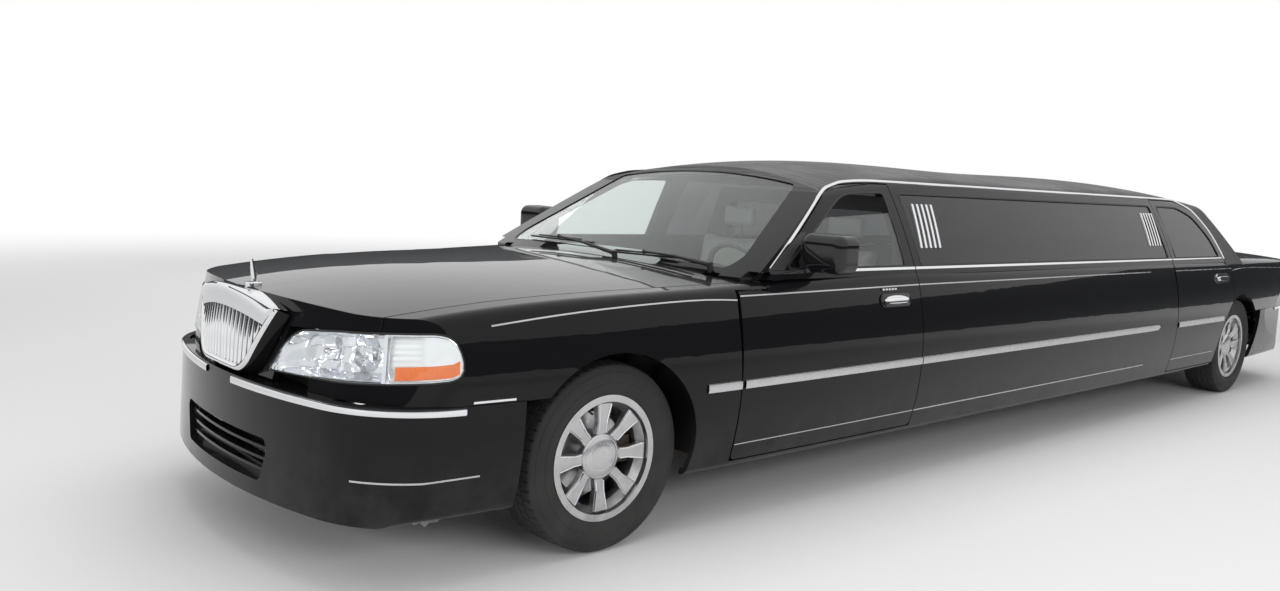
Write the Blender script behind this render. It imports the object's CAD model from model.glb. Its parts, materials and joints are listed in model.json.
"""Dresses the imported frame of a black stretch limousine: finishes, trim, lamps, tyres, cabin and stage."""
import json
import math
import random

import bmesh
import bpy
from bpy.props import FloatProperty, FloatVectorProperty, IntProperty, PointerProperty
from mathutils import Matrix, Vector
from mathutils.bvhtree import BVHTree


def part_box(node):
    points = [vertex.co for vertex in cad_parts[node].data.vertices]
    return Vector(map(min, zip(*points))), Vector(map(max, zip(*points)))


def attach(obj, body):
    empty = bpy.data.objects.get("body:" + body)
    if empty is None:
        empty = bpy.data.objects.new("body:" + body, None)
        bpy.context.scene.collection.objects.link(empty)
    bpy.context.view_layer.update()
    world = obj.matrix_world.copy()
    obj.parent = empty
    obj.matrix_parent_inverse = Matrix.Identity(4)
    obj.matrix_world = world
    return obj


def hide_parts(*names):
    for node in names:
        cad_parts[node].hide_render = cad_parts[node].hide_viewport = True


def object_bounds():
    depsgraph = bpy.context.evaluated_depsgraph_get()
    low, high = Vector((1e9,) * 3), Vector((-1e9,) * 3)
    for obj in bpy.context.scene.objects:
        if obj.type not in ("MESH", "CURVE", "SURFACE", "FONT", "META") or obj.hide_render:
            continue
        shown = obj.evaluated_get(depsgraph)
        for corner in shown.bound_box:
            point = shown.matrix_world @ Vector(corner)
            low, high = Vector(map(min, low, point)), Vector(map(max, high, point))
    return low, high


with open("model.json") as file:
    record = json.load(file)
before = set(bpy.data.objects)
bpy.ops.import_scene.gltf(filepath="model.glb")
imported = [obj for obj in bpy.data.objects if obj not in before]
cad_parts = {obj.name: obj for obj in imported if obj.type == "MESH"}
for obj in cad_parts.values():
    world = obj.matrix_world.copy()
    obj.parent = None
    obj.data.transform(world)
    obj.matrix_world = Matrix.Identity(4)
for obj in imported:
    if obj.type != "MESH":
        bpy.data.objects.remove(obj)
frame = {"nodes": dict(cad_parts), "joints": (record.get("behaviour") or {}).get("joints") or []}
CAD_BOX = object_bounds()

bl_info = {
    "name": "Stretch limousine",
    "version": (1, 0, 0),
    "blender": (4, 5, 0),
    "location": "3D View > Sidebar > Limousine",
    "description": "Dresses the frame of a stretch limousine with its finishes and fine parts",
    "category": "Object",
}

# Places read from the frame, in metres
JOINTS = {joint["name"]: joint for joint in frame["joints"]}
FRONT_AXLE_Y = JOINTS["wheel_front_left_spin"]["pos_m"][1]
REAR_AXLE_Y = JOINTS["wheel_rear_left_spin"]["pos_m"][1]
TYRE_RADIUS = JOINTS["wheel_front_left_spin"]["pos_m"][2]
SIDES = (("left", 1), ("right", -1))
CORNERS = tuple((end, side, sign) for end in ("front", "rear") for side, sign in SIDES)
FRONT_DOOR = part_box("door_front_left")
REAR_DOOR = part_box("door_rear_left")
SHUT_GAP = 0.0055

# How far the nose leans back for each metre up from the body's widest height
WIDEST_Z = 0.590
NOSE_LEAN = 0.166

# The greenhouse's side is an arc through two (x, z) points
BELT_POINT = (0.918, 1.005)
RAIL_POINT = (0.725, 1.385)
GLASS_SIDE_RADIUS = 2.6
SCREEN_SLOPE = 1.75
SCREEN_BASE = (FRONT_AXLE_Y + 0.620, 1.000)
SCREEN_RADIUS = 3.6
PILLAR_EDGE = 0.040
WINDOW_LOW_Z = 1.019
WINDOW_HIGH_Z = 1.352
DOOR_TOP_Z = 1.390


class LimousineSizes(bpy.types.PropertyGroup):
    """Sizes of the fine parts."""
    moulding_width: FloatProperty(name="Moulding width", description="Height of the wide side moulding",
                                  default=0.036, unit="LENGTH")
    pinstripe_width: FloatProperty(name="Pinstripe width", description="Width of the painted lines",
                                   default=0.0045, unit="LENGTH")
    chrome_width: FloatProperty(name="Chrome width", description="Width of the bright window trim",
                                default=0.013, unit="LENGTH")
    tread_steps: IntProperty(name="Tread steps", description="Steps round each tyre", default=480)
    groove_depth: FloatProperty(name="Groove depth", description="Depth of the tread's grooves",
                                default=0.007, unit="LENGTH")
    spoke_count: IntProperty(name="Spokes", description="Spokes in each wheel", default=8)


class LimousineColours(bpy.types.PropertyGroup):
    """Colours of the main finishes."""
    paint: FloatVectorProperty(name="Paint", description="Body colour", subtype="COLOR",
                               default=(0.0055, 0.0056, 0.0065))
    vinyl: FloatVectorProperty(name="Roof", description="Roof covering", subtype="COLOR",
                               default=(0.014, 0.014, 0.016))
    leather: FloatVectorProperty(name="Leather", description="Seat leather", subtype="COLOR",
                                 default=(0.30, 0.295, 0.28))
    amber: FloatVectorProperty(name="Amber", description="Turn signal lens", subtype="COLOR",
                               default=(0.90, 0.20, 0.012))


class LimousineStage(bpy.types.PropertyGroup):
    """Camera and light."""
    focal_pixels: FloatProperty(name="Focal length", description="In pixels of the 1280 wide picture",
                                default=1044.0)
    yaw: FloatProperty(name="Yaw", description="Direction the camera looks", default=math.radians(137.9),
                       subtype="ANGLE")
    pitch: FloatProperty(name="Pitch", description="Tilt of the camera", default=math.radians(-6.57),
                         subtype="ANGLE")
    roll: FloatProperty(name="Roll", description="Roll of the camera", default=math.radians(3.15),
                        subtype="ANGLE")
    world_strength: FloatProperty(name="World", description="Strength of the soft light all round",
                                  default=0.62)


# Shapes: small helpers over the bmesh operators

SHARP_ANGLE = math.radians(40.0)


def add_block(bm, low, high, bevel, segments=2):
    """A block between two corners with rounded edges."""
    low, high = Vector(low), Vector(high)
    verts = bmesh.ops.create_cube(bm, size=1.0)["verts"]
    bmesh.ops.scale(bm, vec=high - low, verts=verts)
    bmesh.ops.translate(bm, vec=(low + high) / 2, verts=verts)
    edges = list({edge for vert in verts for edge in vert.link_edges})
    bmesh.ops.bevel(bm, geom=edges, offset=bevel, offset_type="OFFSET", segments=segments,
                    profile=0.5, affect="EDGES", material=-1)


def add_rod(bm, start, end, radius, end_radius=None, segments=16):
    """A round bar between two points."""
    start, end = Vector(start), Vector(end)
    run = end - start
    turn = run.to_track_quat("Z", "Y").to_matrix().to_4x4()
    matrix = Matrix.Translation((start + end) / 2) @ turn
    bmesh.ops.create_cone(bm, cap_ends=True, cap_tris=False, segments=segments, radius1=radius,
                          radius2=radius if end_radius is None else end_radius, depth=run.length,
                          matrix=matrix)


def add_chain(bm, spots, radius, segments=8):
    """Round bars from each point to the next."""
    for start, end in zip(spots, spots[1:]):
        add_rod(bm, start, end, radius, segments=segments)


def add_ball(bm, centre, radius, segments=16):
    """A ball about a point."""
    bmesh.ops.create_uvsphere(bm, u_segments=segments, v_segments=segments // 2, radius=radius,
                              matrix=Matrix.Translation(centre))


def add_spin(bm, profile, centre, steps, side=1, closed=False):
    """Turn (distance out along the axle, radius) points round an axle along X."""
    verts = [bm.verts.new((side * out, 0.0, radius)) for out, radius in profile]
    edges = [bm.edges.new(pair) for pair in zip(verts, verts[1:])]
    if closed:
        edges.append(bm.edges.new((verts[-1], verts[0])))
    before = set(bm.verts) - set(verts)
    bmesh.ops.spin(bm, geom=verts + edges, cent=(0, 0, 0), axis=(1, 0, 0), angle=2 * math.pi,
                   steps=steps, use_merge=True, use_duplicate=False)
    made = [vert for vert in bm.verts if vert not in before]
    bmesh.ops.remove_doubles(bm, verts=made, dist=1e-6)
    made = [vert for vert in bm.verts if vert not in before]
    bmesh.ops.translate(bm, vec=centre, verts=made)
    return made


def add_sheet(bm, columns, rows, place, thickness=0.0, close=False):
    """A grid whose corners go where place(u, v) says, then thickened into a closed shell."""
    made = bmesh.ops.create_grid(bm, x_segments=columns, y_segments=rows, size=1.0)["verts"]
    for vert in made:
        vert.co = place((vert.co.x + 1) / 2, (vert.co.y + 1) / 2)
    if close:
        bmesh.ops.remove_doubles(bm, verts=made, dist=1e-5)
        made = [vert for vert in made if vert.is_valid]
    if thickness:
        faces = list({face for vert in made for face in vert.link_faces})
        bmesh.ops.recalc_face_normals(bm, faces=faces)
        bmesh.ops.solidify(bm, geom=faces, thickness=thickness)


def new_object(name, bm, finish):
    """Make the finished mesh an object in the scene."""
    mesh = bpy.data.meshes.new(name)
    bm.to_mesh(mesh)
    bm.free()
    mesh.materials.append(FINISHES[finish])
    made = bpy.data.objects.new(name, mesh)
    bpy.context.scene.collection.objects.link(made)
    return made


def new_piece(name, bm, finish, body, sharp=SHARP_ANGLE):
    """Make the finished mesh a piece that rides on a body."""
    bmesh.ops.recalc_face_normals(bm, faces=bm.faces)
    piece = new_object(name, bm, finish)
    piece.data.shade_smooth()
    piece.data.set_sharp_from_angle(angle=sharp)
    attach(piece, body)
    return piece


def sheet_piece(name, finish, body, columns, rows, place, thickness, sharp=SHARP_ANGLE):
    """A piece that is one thickened sheet."""
    bm = bmesh.new()
    add_sheet(bm, columns, rows, place, thickness)
    return new_piece(name, bm, finish, body, sharp)


def strip_piece(name, finish, body, slot, path, width, height, place, **options):
    """A piece that is one crowned strip."""
    bm = bmesh.new()
    add_strip(bm, path, width, height, place, **options)
    return new_piece(name, bm, finish, body)


# Outlines seen from the side, as (y, z) points

def house_centre():
    """The middle of the arc of the greenhouse's side, as (x, z)."""
    mid_x, mid_z = (BELT_POINT[0] + RAIL_POINT[0]) / 2, (BELT_POINT[1] + RAIL_POINT[1]) / 2
    half = math.hypot(BELT_POINT[0] - RAIL_POINT[0], BELT_POINT[1] - RAIL_POINT[1]) / 2
    reach = math.sqrt(GLASS_SIDE_RADIUS ** 2 - half ** 2)
    dx, dz = (RAIL_POINT[0] - BELT_POINT[0]) / (2 * half), (RAIL_POINT[1] - BELT_POINT[1]) / (2 * half)
    return mid_x - reach * dz, mid_z + reach * dx


def house_point(y, z, side, lift):
    """A point on the greenhouse's side, lifted off it along its normal."""
    centre_x, centre_z = house_centre()
    x = centre_x + math.sqrt(GLASS_SIDE_RADIUS ** 2 - (z - centre_z) ** 2)
    normal = Vector((x - centre_x, 0, z - centre_z)).normalized()
    return Vector((side * (x + normal.x * lift), y, z + normal.z * lift))


def pillar_y(z):
    """Where the windscreen meets the greenhouse's side at a height."""
    x = house_point(0, z, 1, 0).x
    bow = SCREEN_RADIUS - math.sqrt(SCREEN_RADIUS ** 2 - x * x)
    return SCREEN_BASE[0] + SCREEN_SLOPE * (z - SCREEN_BASE[1]) + bow


def screen_point(x, z, lift):
    """A point on the windscreen, lifted off it."""
    bow = SCREEN_RADIUS - math.sqrt(SCREEN_RADIUS ** 2 - x * x)
    normal = Vector((x / SCREEN_RADIUS, -1.0, SCREEN_SLOPE)).normalized()
    return Vector((x, SCREEN_BASE[0] + SCREEN_SLOPE * (z - SCREEN_BASE[1]) + bow, z)) + normal * lift


def rounded(points, radii, closed=False):
    """A side outline with its corners made arcs."""
    path = []
    count = len(points)
    for index, (point, radius) in enumerate(zip(points, radii)):
        corner = Vector(point)
        if not radius or (not closed and index in (0, count - 1)):
            path.append(corner)
            continue
        back = (Vector(points[index - 1]) - corner).normalized()
        ahead = (Vector(points[(index + 1) % count]) - corner).normalized()
        half = back.angle(ahead) / 2
        centre = corner + (back + ahead).normalized() * radius / math.sin(half)
        first = corner + back * radius / math.tan(half) - centre
        turn = first.angle_signed(corner + ahead * radius / math.tan(half) - centre)
        steps = max(3, int(abs(turn) / math.radians(7.0)))
        for step in range(steps + 1):
            spin = Matrix.Rotation(-turn * step / steps, 2)
            path.append(centre + spin @ first)
    if closed:
        path.append(path[0].copy())
    return path


def spread(path, distance):
    """The path moved sideways by a distance, to its left."""
    moved = []
    for index, point in enumerate(path):
        run = path[min(index + 1, len(path) - 1)] - path[max(index - 1, 0)]
        run.normalize()
        moved.append(point + Vector((-run.y, run.x)) * distance)
    return moved


def evenly(path, spacing):
    """Points along a path, no further apart than the spacing."""
    points = [Vector(path[0])]
    for start, end in zip(path, path[1:]):
        start, end = Vector(start), Vector(end)
        steps = max(1, math.ceil((end - start).length / spacing))
        points += [start.lerp(end, step / steps) for step in range(1, steps + 1)]
    return [p for i, p in enumerate(points) if i == 0 or (p - points[i - 1]).length > 1e-6]


def clipped(path, low_y, high_y):
    """The part of a path between two places along the car."""
    kept = []
    for start, end in zip(path, path[1:]):
        run = end.x - start.x
        if abs(run) < 1e-9:
            continue
        first = max(0.0, min(1.0, (low_y - start.x) / run))
        last = max(0.0, min(1.0, (high_y - start.x) / run))
        if last - first > 1e-6:
            kept += [start.lerp(end, first), start.lerp(end, last)]
    return [p for i, p in enumerate(kept) if i == 0 or (p - kept[i - 1]).length > 1e-6]


STRIP_ROWS = ((-0.5, -0.25), (-0.42, 0.75), (0.0, 1.0), (0.42, 0.75), (0.5, -0.25))
FLAT_ROWS = ((-0.5, -0.5), (-0.46, 1.0), (0.0, 1.0), (0.46, 1.0), (0.5, -0.5))


def settle(values, rounds, closed):
    """Even out a run of vectors, keeping the ends of an open one."""
    last = len(values) - 1
    for _ in range(rounds):
        fresh = list(values)
        for index in range(len(values)):
            if closed or 0 < index < last:
                after = values[(index + 1) % len(values)]
                fresh[index] = values[index] / 2 + (values[index - 1] + after) / 4
        values = fresh
    return values


def add_strip(bm, path, width, height, place, closed=False, rows=STRIP_ROWS, rounds=5):
    """A crowned strip along a path; place(first, second, lift) puts a point on the surface below."""
    if closed:
        path = path[:-1]
    spots = [place(point[0], point[1], 0.0) for point in path]
    normals = [place(point[0], point[1], 0.01) - spot for point, spot in zip(path, spots)]
    spots, normals = settle(spots, rounds, closed), settle(normals, rounds + 4, closed)
    count, last = len(spots), len(spots) - (0 if closed else 1)

    def corner(u, v):
        index = round(u * last)
        if closed:
            ahead, behind = spots[(index + 1) % count], spots[(index - 1) % count]
        else:
            ahead, behind = spots[min(index + 1, last)], spots[max(index - 1, 0)]
        normal = normals[index % count].normalized()
        across = (ahead - behind).cross(normal).normalized()
        side, rise = rows[round(v * (len(rows) - 1))]
        return spots[index % count] + across * side * width + normal * rise * height

    add_sheet(bm, last, len(rows) - 1, corner, thickness=0.0008, close=closed)


TREES = {}


def surface(*names):
    """One search tree over the named frame pieces, to lay trim on them."""
    if names not in TREES:
        points, faces = [], []
        for name in names:
            mesh = frame["nodes"][name].data
            start = len(points)
            points += [vert.co.copy() for vert in mesh.vertices]
            faces += [[start + i for i in poly.vertices] for poly in mesh.polygons]
        TREES[names] = BVHTree.FromPolygons(points, faces)
    return TREES[names]


def cast(tree, origin, direction, lift=0.0):
    """The first point of a surface along a ray, lifted back towards where the ray came from."""
    direction = Vector(direction).normalized()
    hit, normal, _, _ = tree.ray_cast(Vector(origin), direction)
    if hit is None:
        hit, normal, _, _ = tree.find_nearest(Vector(origin) + direction * 0.45)
    if normal.dot(direction) > 0:
        normal = -normal
    return hit + normal * lift


def side_place(side, *names):
    """A place function for the outer side of the named pieces."""
    tree = surface(*names)

    def place(y, z, lift):
        return cast(tree, (side * 1.45, y, z), (-side, 0, 0), lift)
    return place


def side_spans(side_name):
    """The outer panels from front to back: piece, body, first and last place along the car."""
    front_low, front_high = FRONT_DOOR[0].y, FRONT_DOOR[1].y
    rear_low, rear_high = REAR_DOOR[0].y, REAR_DOOR[1].y
    return (
        ("fender_" + side_name, "chassis", CAD_BOX[0][1], front_low - SHUT_GAP),
        ("door_front_" + side_name, "front_door_" + side_name, front_low + 0.001, front_high - 0.001),
        ("side_panel_" + side_name, "chassis", front_high + SHUT_GAP, rear_low - SHUT_GAP),
        ("door_rear_" + side_name, "rear_door_" + side_name, rear_low + 0.001, rear_high - 0.001),
        ("quarter_" + side_name, "chassis", rear_high + SHUT_GAP, CAD_BOX[1][1]),
    )


# How far a strip stays from its door's hinge edge, as a share of the strip's height
DOOR_STRIP_BACK = 1.8
TRIM_SPACING = 0.12
SHORTEST_TRIM = 0.02


def trim_run(name, points, width, height, finish, slot, place_on=None, rows=STRIP_ROWS):
    """A strip down both sides, cut at the panels' ends and set back on a door so that it swings clear."""
    path = evenly([Vector(point) for point in points], TRIM_SPACING)
    for side_name, side in SIDES:
        for node, body, low, high in side_spans(side_name):
            if body != "chassis":
                low += DOOR_STRIP_BACK * height
            piece_path = clipped(path, low, high)
            if len(piece_path) < 2 or (piece_path[-1] - piece_path[0]).length < SHORTEST_TRIM:
                continue
            place = place_on(side) if place_on else side_place(side, node)
            strip_piece(name + "_" + node, finish, body, slot, evenly(piece_path, TRIM_SPACING), width,
                        height, place, rows=rows)


# Finishes: shared effects as node groups, and a table or a function for each material

CHROME = (0.80, 0.81, 0.83)
SILVER = (0.60, 0.60, 0.61)
NEAR_BLACK = (0.006, 0.006, 0.007)
PALE_DUST = (0.20, 0.185, 0.165)
PAINT_ROUGHNESS = 0.3
CLEAR_COAT = {"Specular_IOR_Level": 0.03, "Coat_Weight": 1.0, "Coat_Roughness": 0.015, "Coat_IOR": 1.27}
EFFECTS = {}
FINISHES = {}


def wire(tree, kind, settings=None, inputs=None):
    """Add a node, set it and join its inputs."""
    node = tree.nodes.new(kind)
    for key, value in (settings or {}).items():
        setattr(node, key, value)
    for key, value in (inputs or {}).items():
        if isinstance(value, bpy.types.NodeSocket):
            tree.links.new(value, node.inputs[key])
        else:
            node.inputs[key].default_value = value
    return node


def own_place(tree):
    """The object's own coordinates."""
    return wire(tree, "ShaderNodeTexCoord").outputs["Object"]


def along(tree, place, axis):
    """One coordinate of a place."""
    return wire(tree, "ShaderNodeSeparateXYZ", None, {"Vector": place}).outputs[axis]


def stretched(tree, scale, location=(0.0, 0.0, 0.0)):
    """The object's own coordinates, scaled and moved."""
    inputs = {"Vector": own_place(tree), "Scale": scale, "Location": location}
    return wire(tree, "ShaderNodeMapping", None, inputs).outputs["Vector"]


def maths(tree, operation, *values, clamp=False):
    """The result of one sum over sockets and numbers."""
    settings = {"operation": operation, "use_clamp": clamp}
    return wire(tree, "ShaderNodeMath", settings, dict(enumerate(values))).outputs["Value"]


def ranged(tree, value, low, high, to_low=0.0, to_high=1.0):
    """A value mapped from one span to another and held at its ends."""
    inputs = {"Value": value, "From Min": low, "From Max": high, "To Min": to_low, "To Max": to_high}
    return wire(tree, "ShaderNodeMapRange", {"clamp": True}, inputs).outputs["Result"]


def noise(tree, place, scale, **values):
    """Cloudy noise over a place."""
    inputs = {key.capitalize(): value for key, value in values.items()}
    node = wire(tree, "ShaderNodeTexNoise", None, {"Vector": place, "Scale": scale, **inputs})
    return node.outputs["Fac"]


def road_dust(tree, given, place):
    """More dust lower down, broken up by noise: 0 is clean, 1 is covered."""
    low = ranged(tree, along(tree, place, "Z"), given["Top"], given["Bottom"])
    patch = ranged(tree, noise(tree, place, given["Scale"], detail=6.0, roughness=0.62), 0.36, 0.68)
    return maths(tree, "MULTIPLY", maths(tree, "MULTIPLY", low, patch), given["Amount"])


def pebbled_grain(tree, given, place):
    """The height of leather, vinyl or moulded plastic grain."""
    cells = wire(tree, "ShaderNodeTexVoronoi", {"feature": "SMOOTH_F1"},
                 {"Vector": place, "Scale": given["Scale"], "Smoothness": 0.6})
    wrinkles = maths(tree, "MULTIPLY", noise(tree, place, 14.0, detail=5.0), given["Wrinkle"])
    return maths(tree, "ADD", cells.outputs["Distance"], wrinkles)


def uneven_gloss(tree, given, place):
    """A roughness that wanders between two values."""
    cloud = noise(tree, place, given["Scale"], detail=5.0, roughness=0.6)
    return ranged(tree, cloud, 0.32, 0.7, given["Low"], given["High"])


def woven_pile(tree, given, place):
    """The height of carpet or cloth, from noise over small cells."""
    cells = wire(tree, "ShaderNodeTexVoronoi", None, {"Vector": place, "Scale": given["Scale"]})
    return maths(tree, "MULTIPLY", noise(tree, place, given["Scale"], detail=2.0), cells.outputs["Distance"])


# The function, the inputs with their usual values, and the output of each effect
EFFECT_KINDS = {
    "Road dust": (road_dust, {"Scale": 5.0, "Top": 0.7, "Bottom": 0.15, "Amount": 0.5}, "Mask"),
    "Pebbled grain": (pebbled_grain, {"Scale": 400.0, "Wrinkle": 0.4}, "Height"),
    "Uneven gloss": (uneven_gloss, {"Scale": 6.0, "Low": 0.05, "High": 0.12}, "Roughness"),
    "Woven pile": (woven_pile, {"Scale": 300.0}, "Height"),
}


def effect_group(name):
    """The node group of an effect, built when it is first asked for."""
    if name not in EFFECTS:
        build, values, output = EFFECT_KINDS[name]
        tree = bpy.data.node_groups.new(name, "ShaderNodeTree")
        for label, value in values.items():
            socket = tree.interface.new_socket(name=label, in_out="INPUT", socket_type="NodeSocketFloat")
            socket.default_value = value
        tree.interface.new_socket(name=output, in_out="OUTPUT", socket_type="NodeSocketFloat")
        start = tree.nodes.new("NodeGroupInput")
        end = tree.nodes.new("NodeGroupOutput")
        tree.links.new(build(tree, start.outputs, own_place(tree)), end.inputs[output])
        EFFECTS[name] = tree
    return EFFECTS[name]


def effect(tree, name, **values):
    """Place a shared effect in a material with its own values."""
    node = tree.nodes.new("ShaderNodeGroup")
    node.node_tree = effect_group(name)
    for key, value in values.items():
        node.inputs[key.capitalize()].default_value = value
    return node.outputs[0]


def start_finish(name, colour, roughness, metallic=0.0, **sockets):
    """A material with its shader's plain sockets set."""
    finish = bpy.data.materials.new(name)
    finish.use_nodes = True
    shader = finish.node_tree.nodes["Principled BSDF"]
    shader.inputs["Base Color"].default_value = (*colour[:3], 1.0)
    shader.inputs["Roughness"].default_value = roughness
    shader.inputs["Metallic"].default_value = metallic
    for key, value in sockets.items():
        shader.inputs[key.replace("_", " ")].default_value = value
    FINISHES[name] = finish
    return finish.node_tree, shader


def tint(tree, shader, mask, colour, base=None):
    """Mix a colour over the base by a mask; 6 and 7 are the mix node's colours, and 2 its result."""
    if base is None:
        base = tuple(shader.inputs["Base Color"].default_value)
    mix = wire(tree, "ShaderNodeMix", {"data_type": "RGBA"}, {0: mask, 6: base, 7: (*colour, 1.0)})
    tree.links.new(mix.outputs[2], shader.inputs["Base Color"])
    return mix.outputs[2]


def bump(tree, shader, height, strength, distance):
    """Raise a finish's surface by a height."""
    node = wire(tree, "ShaderNodeBump", None,
                {"Height": height, "Strength": strength, "Distance": distance})
    tree.links.new(node.outputs["Normal"], shader.inputs["Normal"])


def lay_dust(tree, shader, colour, top, bottom, amount, scale):
    """Lay dust over a finish and give back its mask."""
    mask = effect(tree, "Road dust", top=top, bottom=bottom, amount=amount, scale=scale)
    tint(tree, shader, mask, colour)
    return mask


def lay_gloss(tree, shader, scale, low, high):
    """Let a finish's roughness wander."""
    rough = effect(tree, "Uneven gloss", scale=scale, low=low, high=high)
    tree.links.new(rough, shader.inputs["Roughness"])


def lay_grain(tree, shader, scale, wrinkle, strength, distance):
    """Raise a finish's pebbled grain."""
    bump(tree, shader, effect(tree, "Pebbled grain", scale=scale, wrinkle=wrinkle), strength, distance)


def lay_pile(tree, shader, scale, strength, distance):
    """Raise a finish's woven pile."""
    bump(tree, shader, effect(tree, "Woven pile", scale=scale), strength, distance)


def dull(tree, shader, mask, rougher, thinner):
    """Roughen the paint and thin its clear coat by a mask."""
    for socket, factor, start in (("Roughness", rougher, PAINT_ROUGHNESS), ("Coat Weight", -thinner, 1.0)):
        tree.links.new(maths(tree, "MULTIPLY_ADD", mask, factor, start, clamp=True), shader.inputs[socket])


LAYERS = {"dust": lay_dust, "gloss": lay_gloss, "grain": lay_grain, "pile": lay_pile}
MOULDED = {"grain": (700.0, 0.3, 0.25, 0.0005)}
LEATHER_GRAIN = (520.0, 0.8, 0.3, 0.0012)
# Colour, roughness, metal and plain sockets of each plain finish, and the layers that lie on it
PLAIN_FINISHES = {
    "bright_trim": (CHROME, 0.04, 1.0, {}, {"gloss": (9.0, 0.04, 0.12)}),
    "reflector": (CHROME, 0.06, 1.0, {}, {"gloss": (9.0, 0.06, 0.16)}),
    "satin_silver": (SILVER, 0.3, 1.0, {}, {"gloss": (12.0, 0.22, 0.36)}),
    "wheel_silver": (SILVER, 0.3, 1.0, {}, {"dust": ((0.13, 0.11, 0.095), 0.62, 0.0, 0.45, 16.0),
                                            "gloss": (20.0, 0.24, 0.42)}),
    "tyre_black": ((0.018, 0.018, 0.018), 0.82, 0.0, {}, {"dust": ((0.075, 0.07, 0.064), 0.8, 0.0, 0.3, 9.0),
                                                          "grain": (900.0, 0.2, 0.2, 0.0006)}),
    "black_rubber": ((0.012, 0.012, 0.012), 0.55, 0.0, {}, MOULDED),
    "black_plastic": ((0.02, 0.02, 0.021), 0.5, 0.0, {}, MOULDED),
    "cabin_plastic": ((0.075, 0.073, 0.07), 0.6, 0.0, {}, MOULDED),
    "pale_plastic": ((0.62, 0.62, 0.61), 0.3, 0.0, {}, MOULDED),
    "plate_white": ((0.74, 0.74, 0.72), 0.45, 0.0, {}, MOULDED),
    "torn_plastic": ((0.16, 0.16, 0.165), 0.65, 0.0, {}, MOULDED),
    "chassis_black": ((0.022, 0.021, 0.02), 0.62, 0.0, {},
                      {"dust": ((0.14, 0.10, 0.07), 0.7, 0.1, 0.6, 11.0)}),
    "cast_grey": ((0.09, 0.085, 0.08), 0.7, 0.6, {}, {"dust": ((0.17, 0.085, 0.04), 0.75, 0.2, 0.75, 14.0),
                                                      "grain": (260.0, 0.5, 0.3, 0.001)}),
    "bare_steel": ((0.26, 0.25, 0.24), 0.5, 0.9, {}, {"dust": ((0.20, 0.10, 0.05), 0.5, 0.1, 0.6, 10.0)}),
    "dark_leather": ((0.03, 0.029, 0.028), 0.4, 0.0, {}, {"grain": LEATHER_GRAIN}),
    "headliner": ((0.30, 0.295, 0.28), 0.9, 0.0, {"Sheen_Weight": 0.3}, {"pile": (900.0, 0.3, 0.0008)}),
    "carpet": ((0.03, 0.03, 0.032), 0.95, 0.0, {"Sheen_Weight": 0.3}, {"pile": (420.0, 0.8, 0.003)}),
}


def make_finishes(colours):
    """Every material of the car by name."""
    for name, (colour, roughness, metallic, sockets, layers) in PLAIN_FINISHES.items():
        tree, shader = start_finish(name, colour, roughness, metallic, **sockets)
        for kind, values in layers.items():
            LAYERS[kind](tree, shader, *values)

    tree, shader = start_finish("body_paint", colours.paint, PAINT_ROUGHNESS, **CLEAR_COAT)
    dull(tree, shader, lay_dust(tree, shader, PALE_DUST, 0.5, 0.1, 0.16, 7.0), 0.6, 1.6)
    tree, shader = start_finish("door_paint", colours.paint, PAINT_ROUGHNESS, **CLEAR_COAT)
    panel_trim(tree, shader)
    tree, shader = start_finish("roof_vinyl", colours.vinyl, 0.46, Sheen_Weight=0.06)
    lay_gloss(tree, shader, 3.0, 0.40, 0.56)
    bump(tree, shader, roof_creases(tree), 0.35, 0.004)
    tree, shader = start_finish("leather", colours.leather, 0.42)
    lay_grain(tree, shader, *LEATHER_GRAIN)
    lay_gloss(tree, shader, 5.0, 0.36, 0.52)
    grille_finish()
    mirror_and_handle_finish()
    glass_finishes(colours)


# The cabin's side of a door or panel: how far out it reaches, and how far below the belt it starts
PANEL_TRIM_X = 0.893
PANEL_TRIM_DROP = 0.03


def panel_trim(tree, shader):
    """Paint outside, cabin trim on what faces the cabin, by distance from the middle of the car."""
    place = own_place(tree)
    inside = maths(tree, "LESS_THAN", maths(tree, "ABSOLUTE", along(tree, place, "X")), PANEL_TRIM_X)
    low = maths(tree, "LESS_THAN", along(tree, place, "Z"), BELT_POINT[1] - PANEL_TRIM_DROP)
    both = maths(tree, "MULTIPLY", inside, low)
    dust = effect(tree, "Road dust", top=0.5, bottom=0.1, amount=0.14, scale=7.0)
    dusty = tint(tree, shader, dust, PALE_DUST)
    tint(tree, shader, both, PLAIN_FINISHES["cabin_plastic"][0], dusty)
    dull(tree, shader, both, 0.4, 1.0)


# Where the roof's covering has lifted over the windscreen: fully, and no more
CREASE_FULL_Y = FRONT_AXLE_Y + 1.3
CREASE_END_Y = FRONT_AXLE_Y + 1.75
CREASE_HEIGHT = 24.0


def roof_creases(tree):
    """Fine grain all over, with lifted creases where the covering peels over the windscreen."""
    folds = noise(tree, stretched(tree, (1.6, 16.0, 4.0)), 1.5, detail=4.0, distortion=0.8)
    front = ranged(tree, along(tree, own_place(tree), "Y"), CREASE_END_Y, CREASE_FULL_Y)
    strong = maths(tree, "MULTIPLY", maths(tree, "MULTIPLY", folds, front), CREASE_HEIGHT)
    return maths(tree, "ADD", effect(tree, "Pebbled grain", scale=330.0, wrinkle=0.9), strong)


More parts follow.
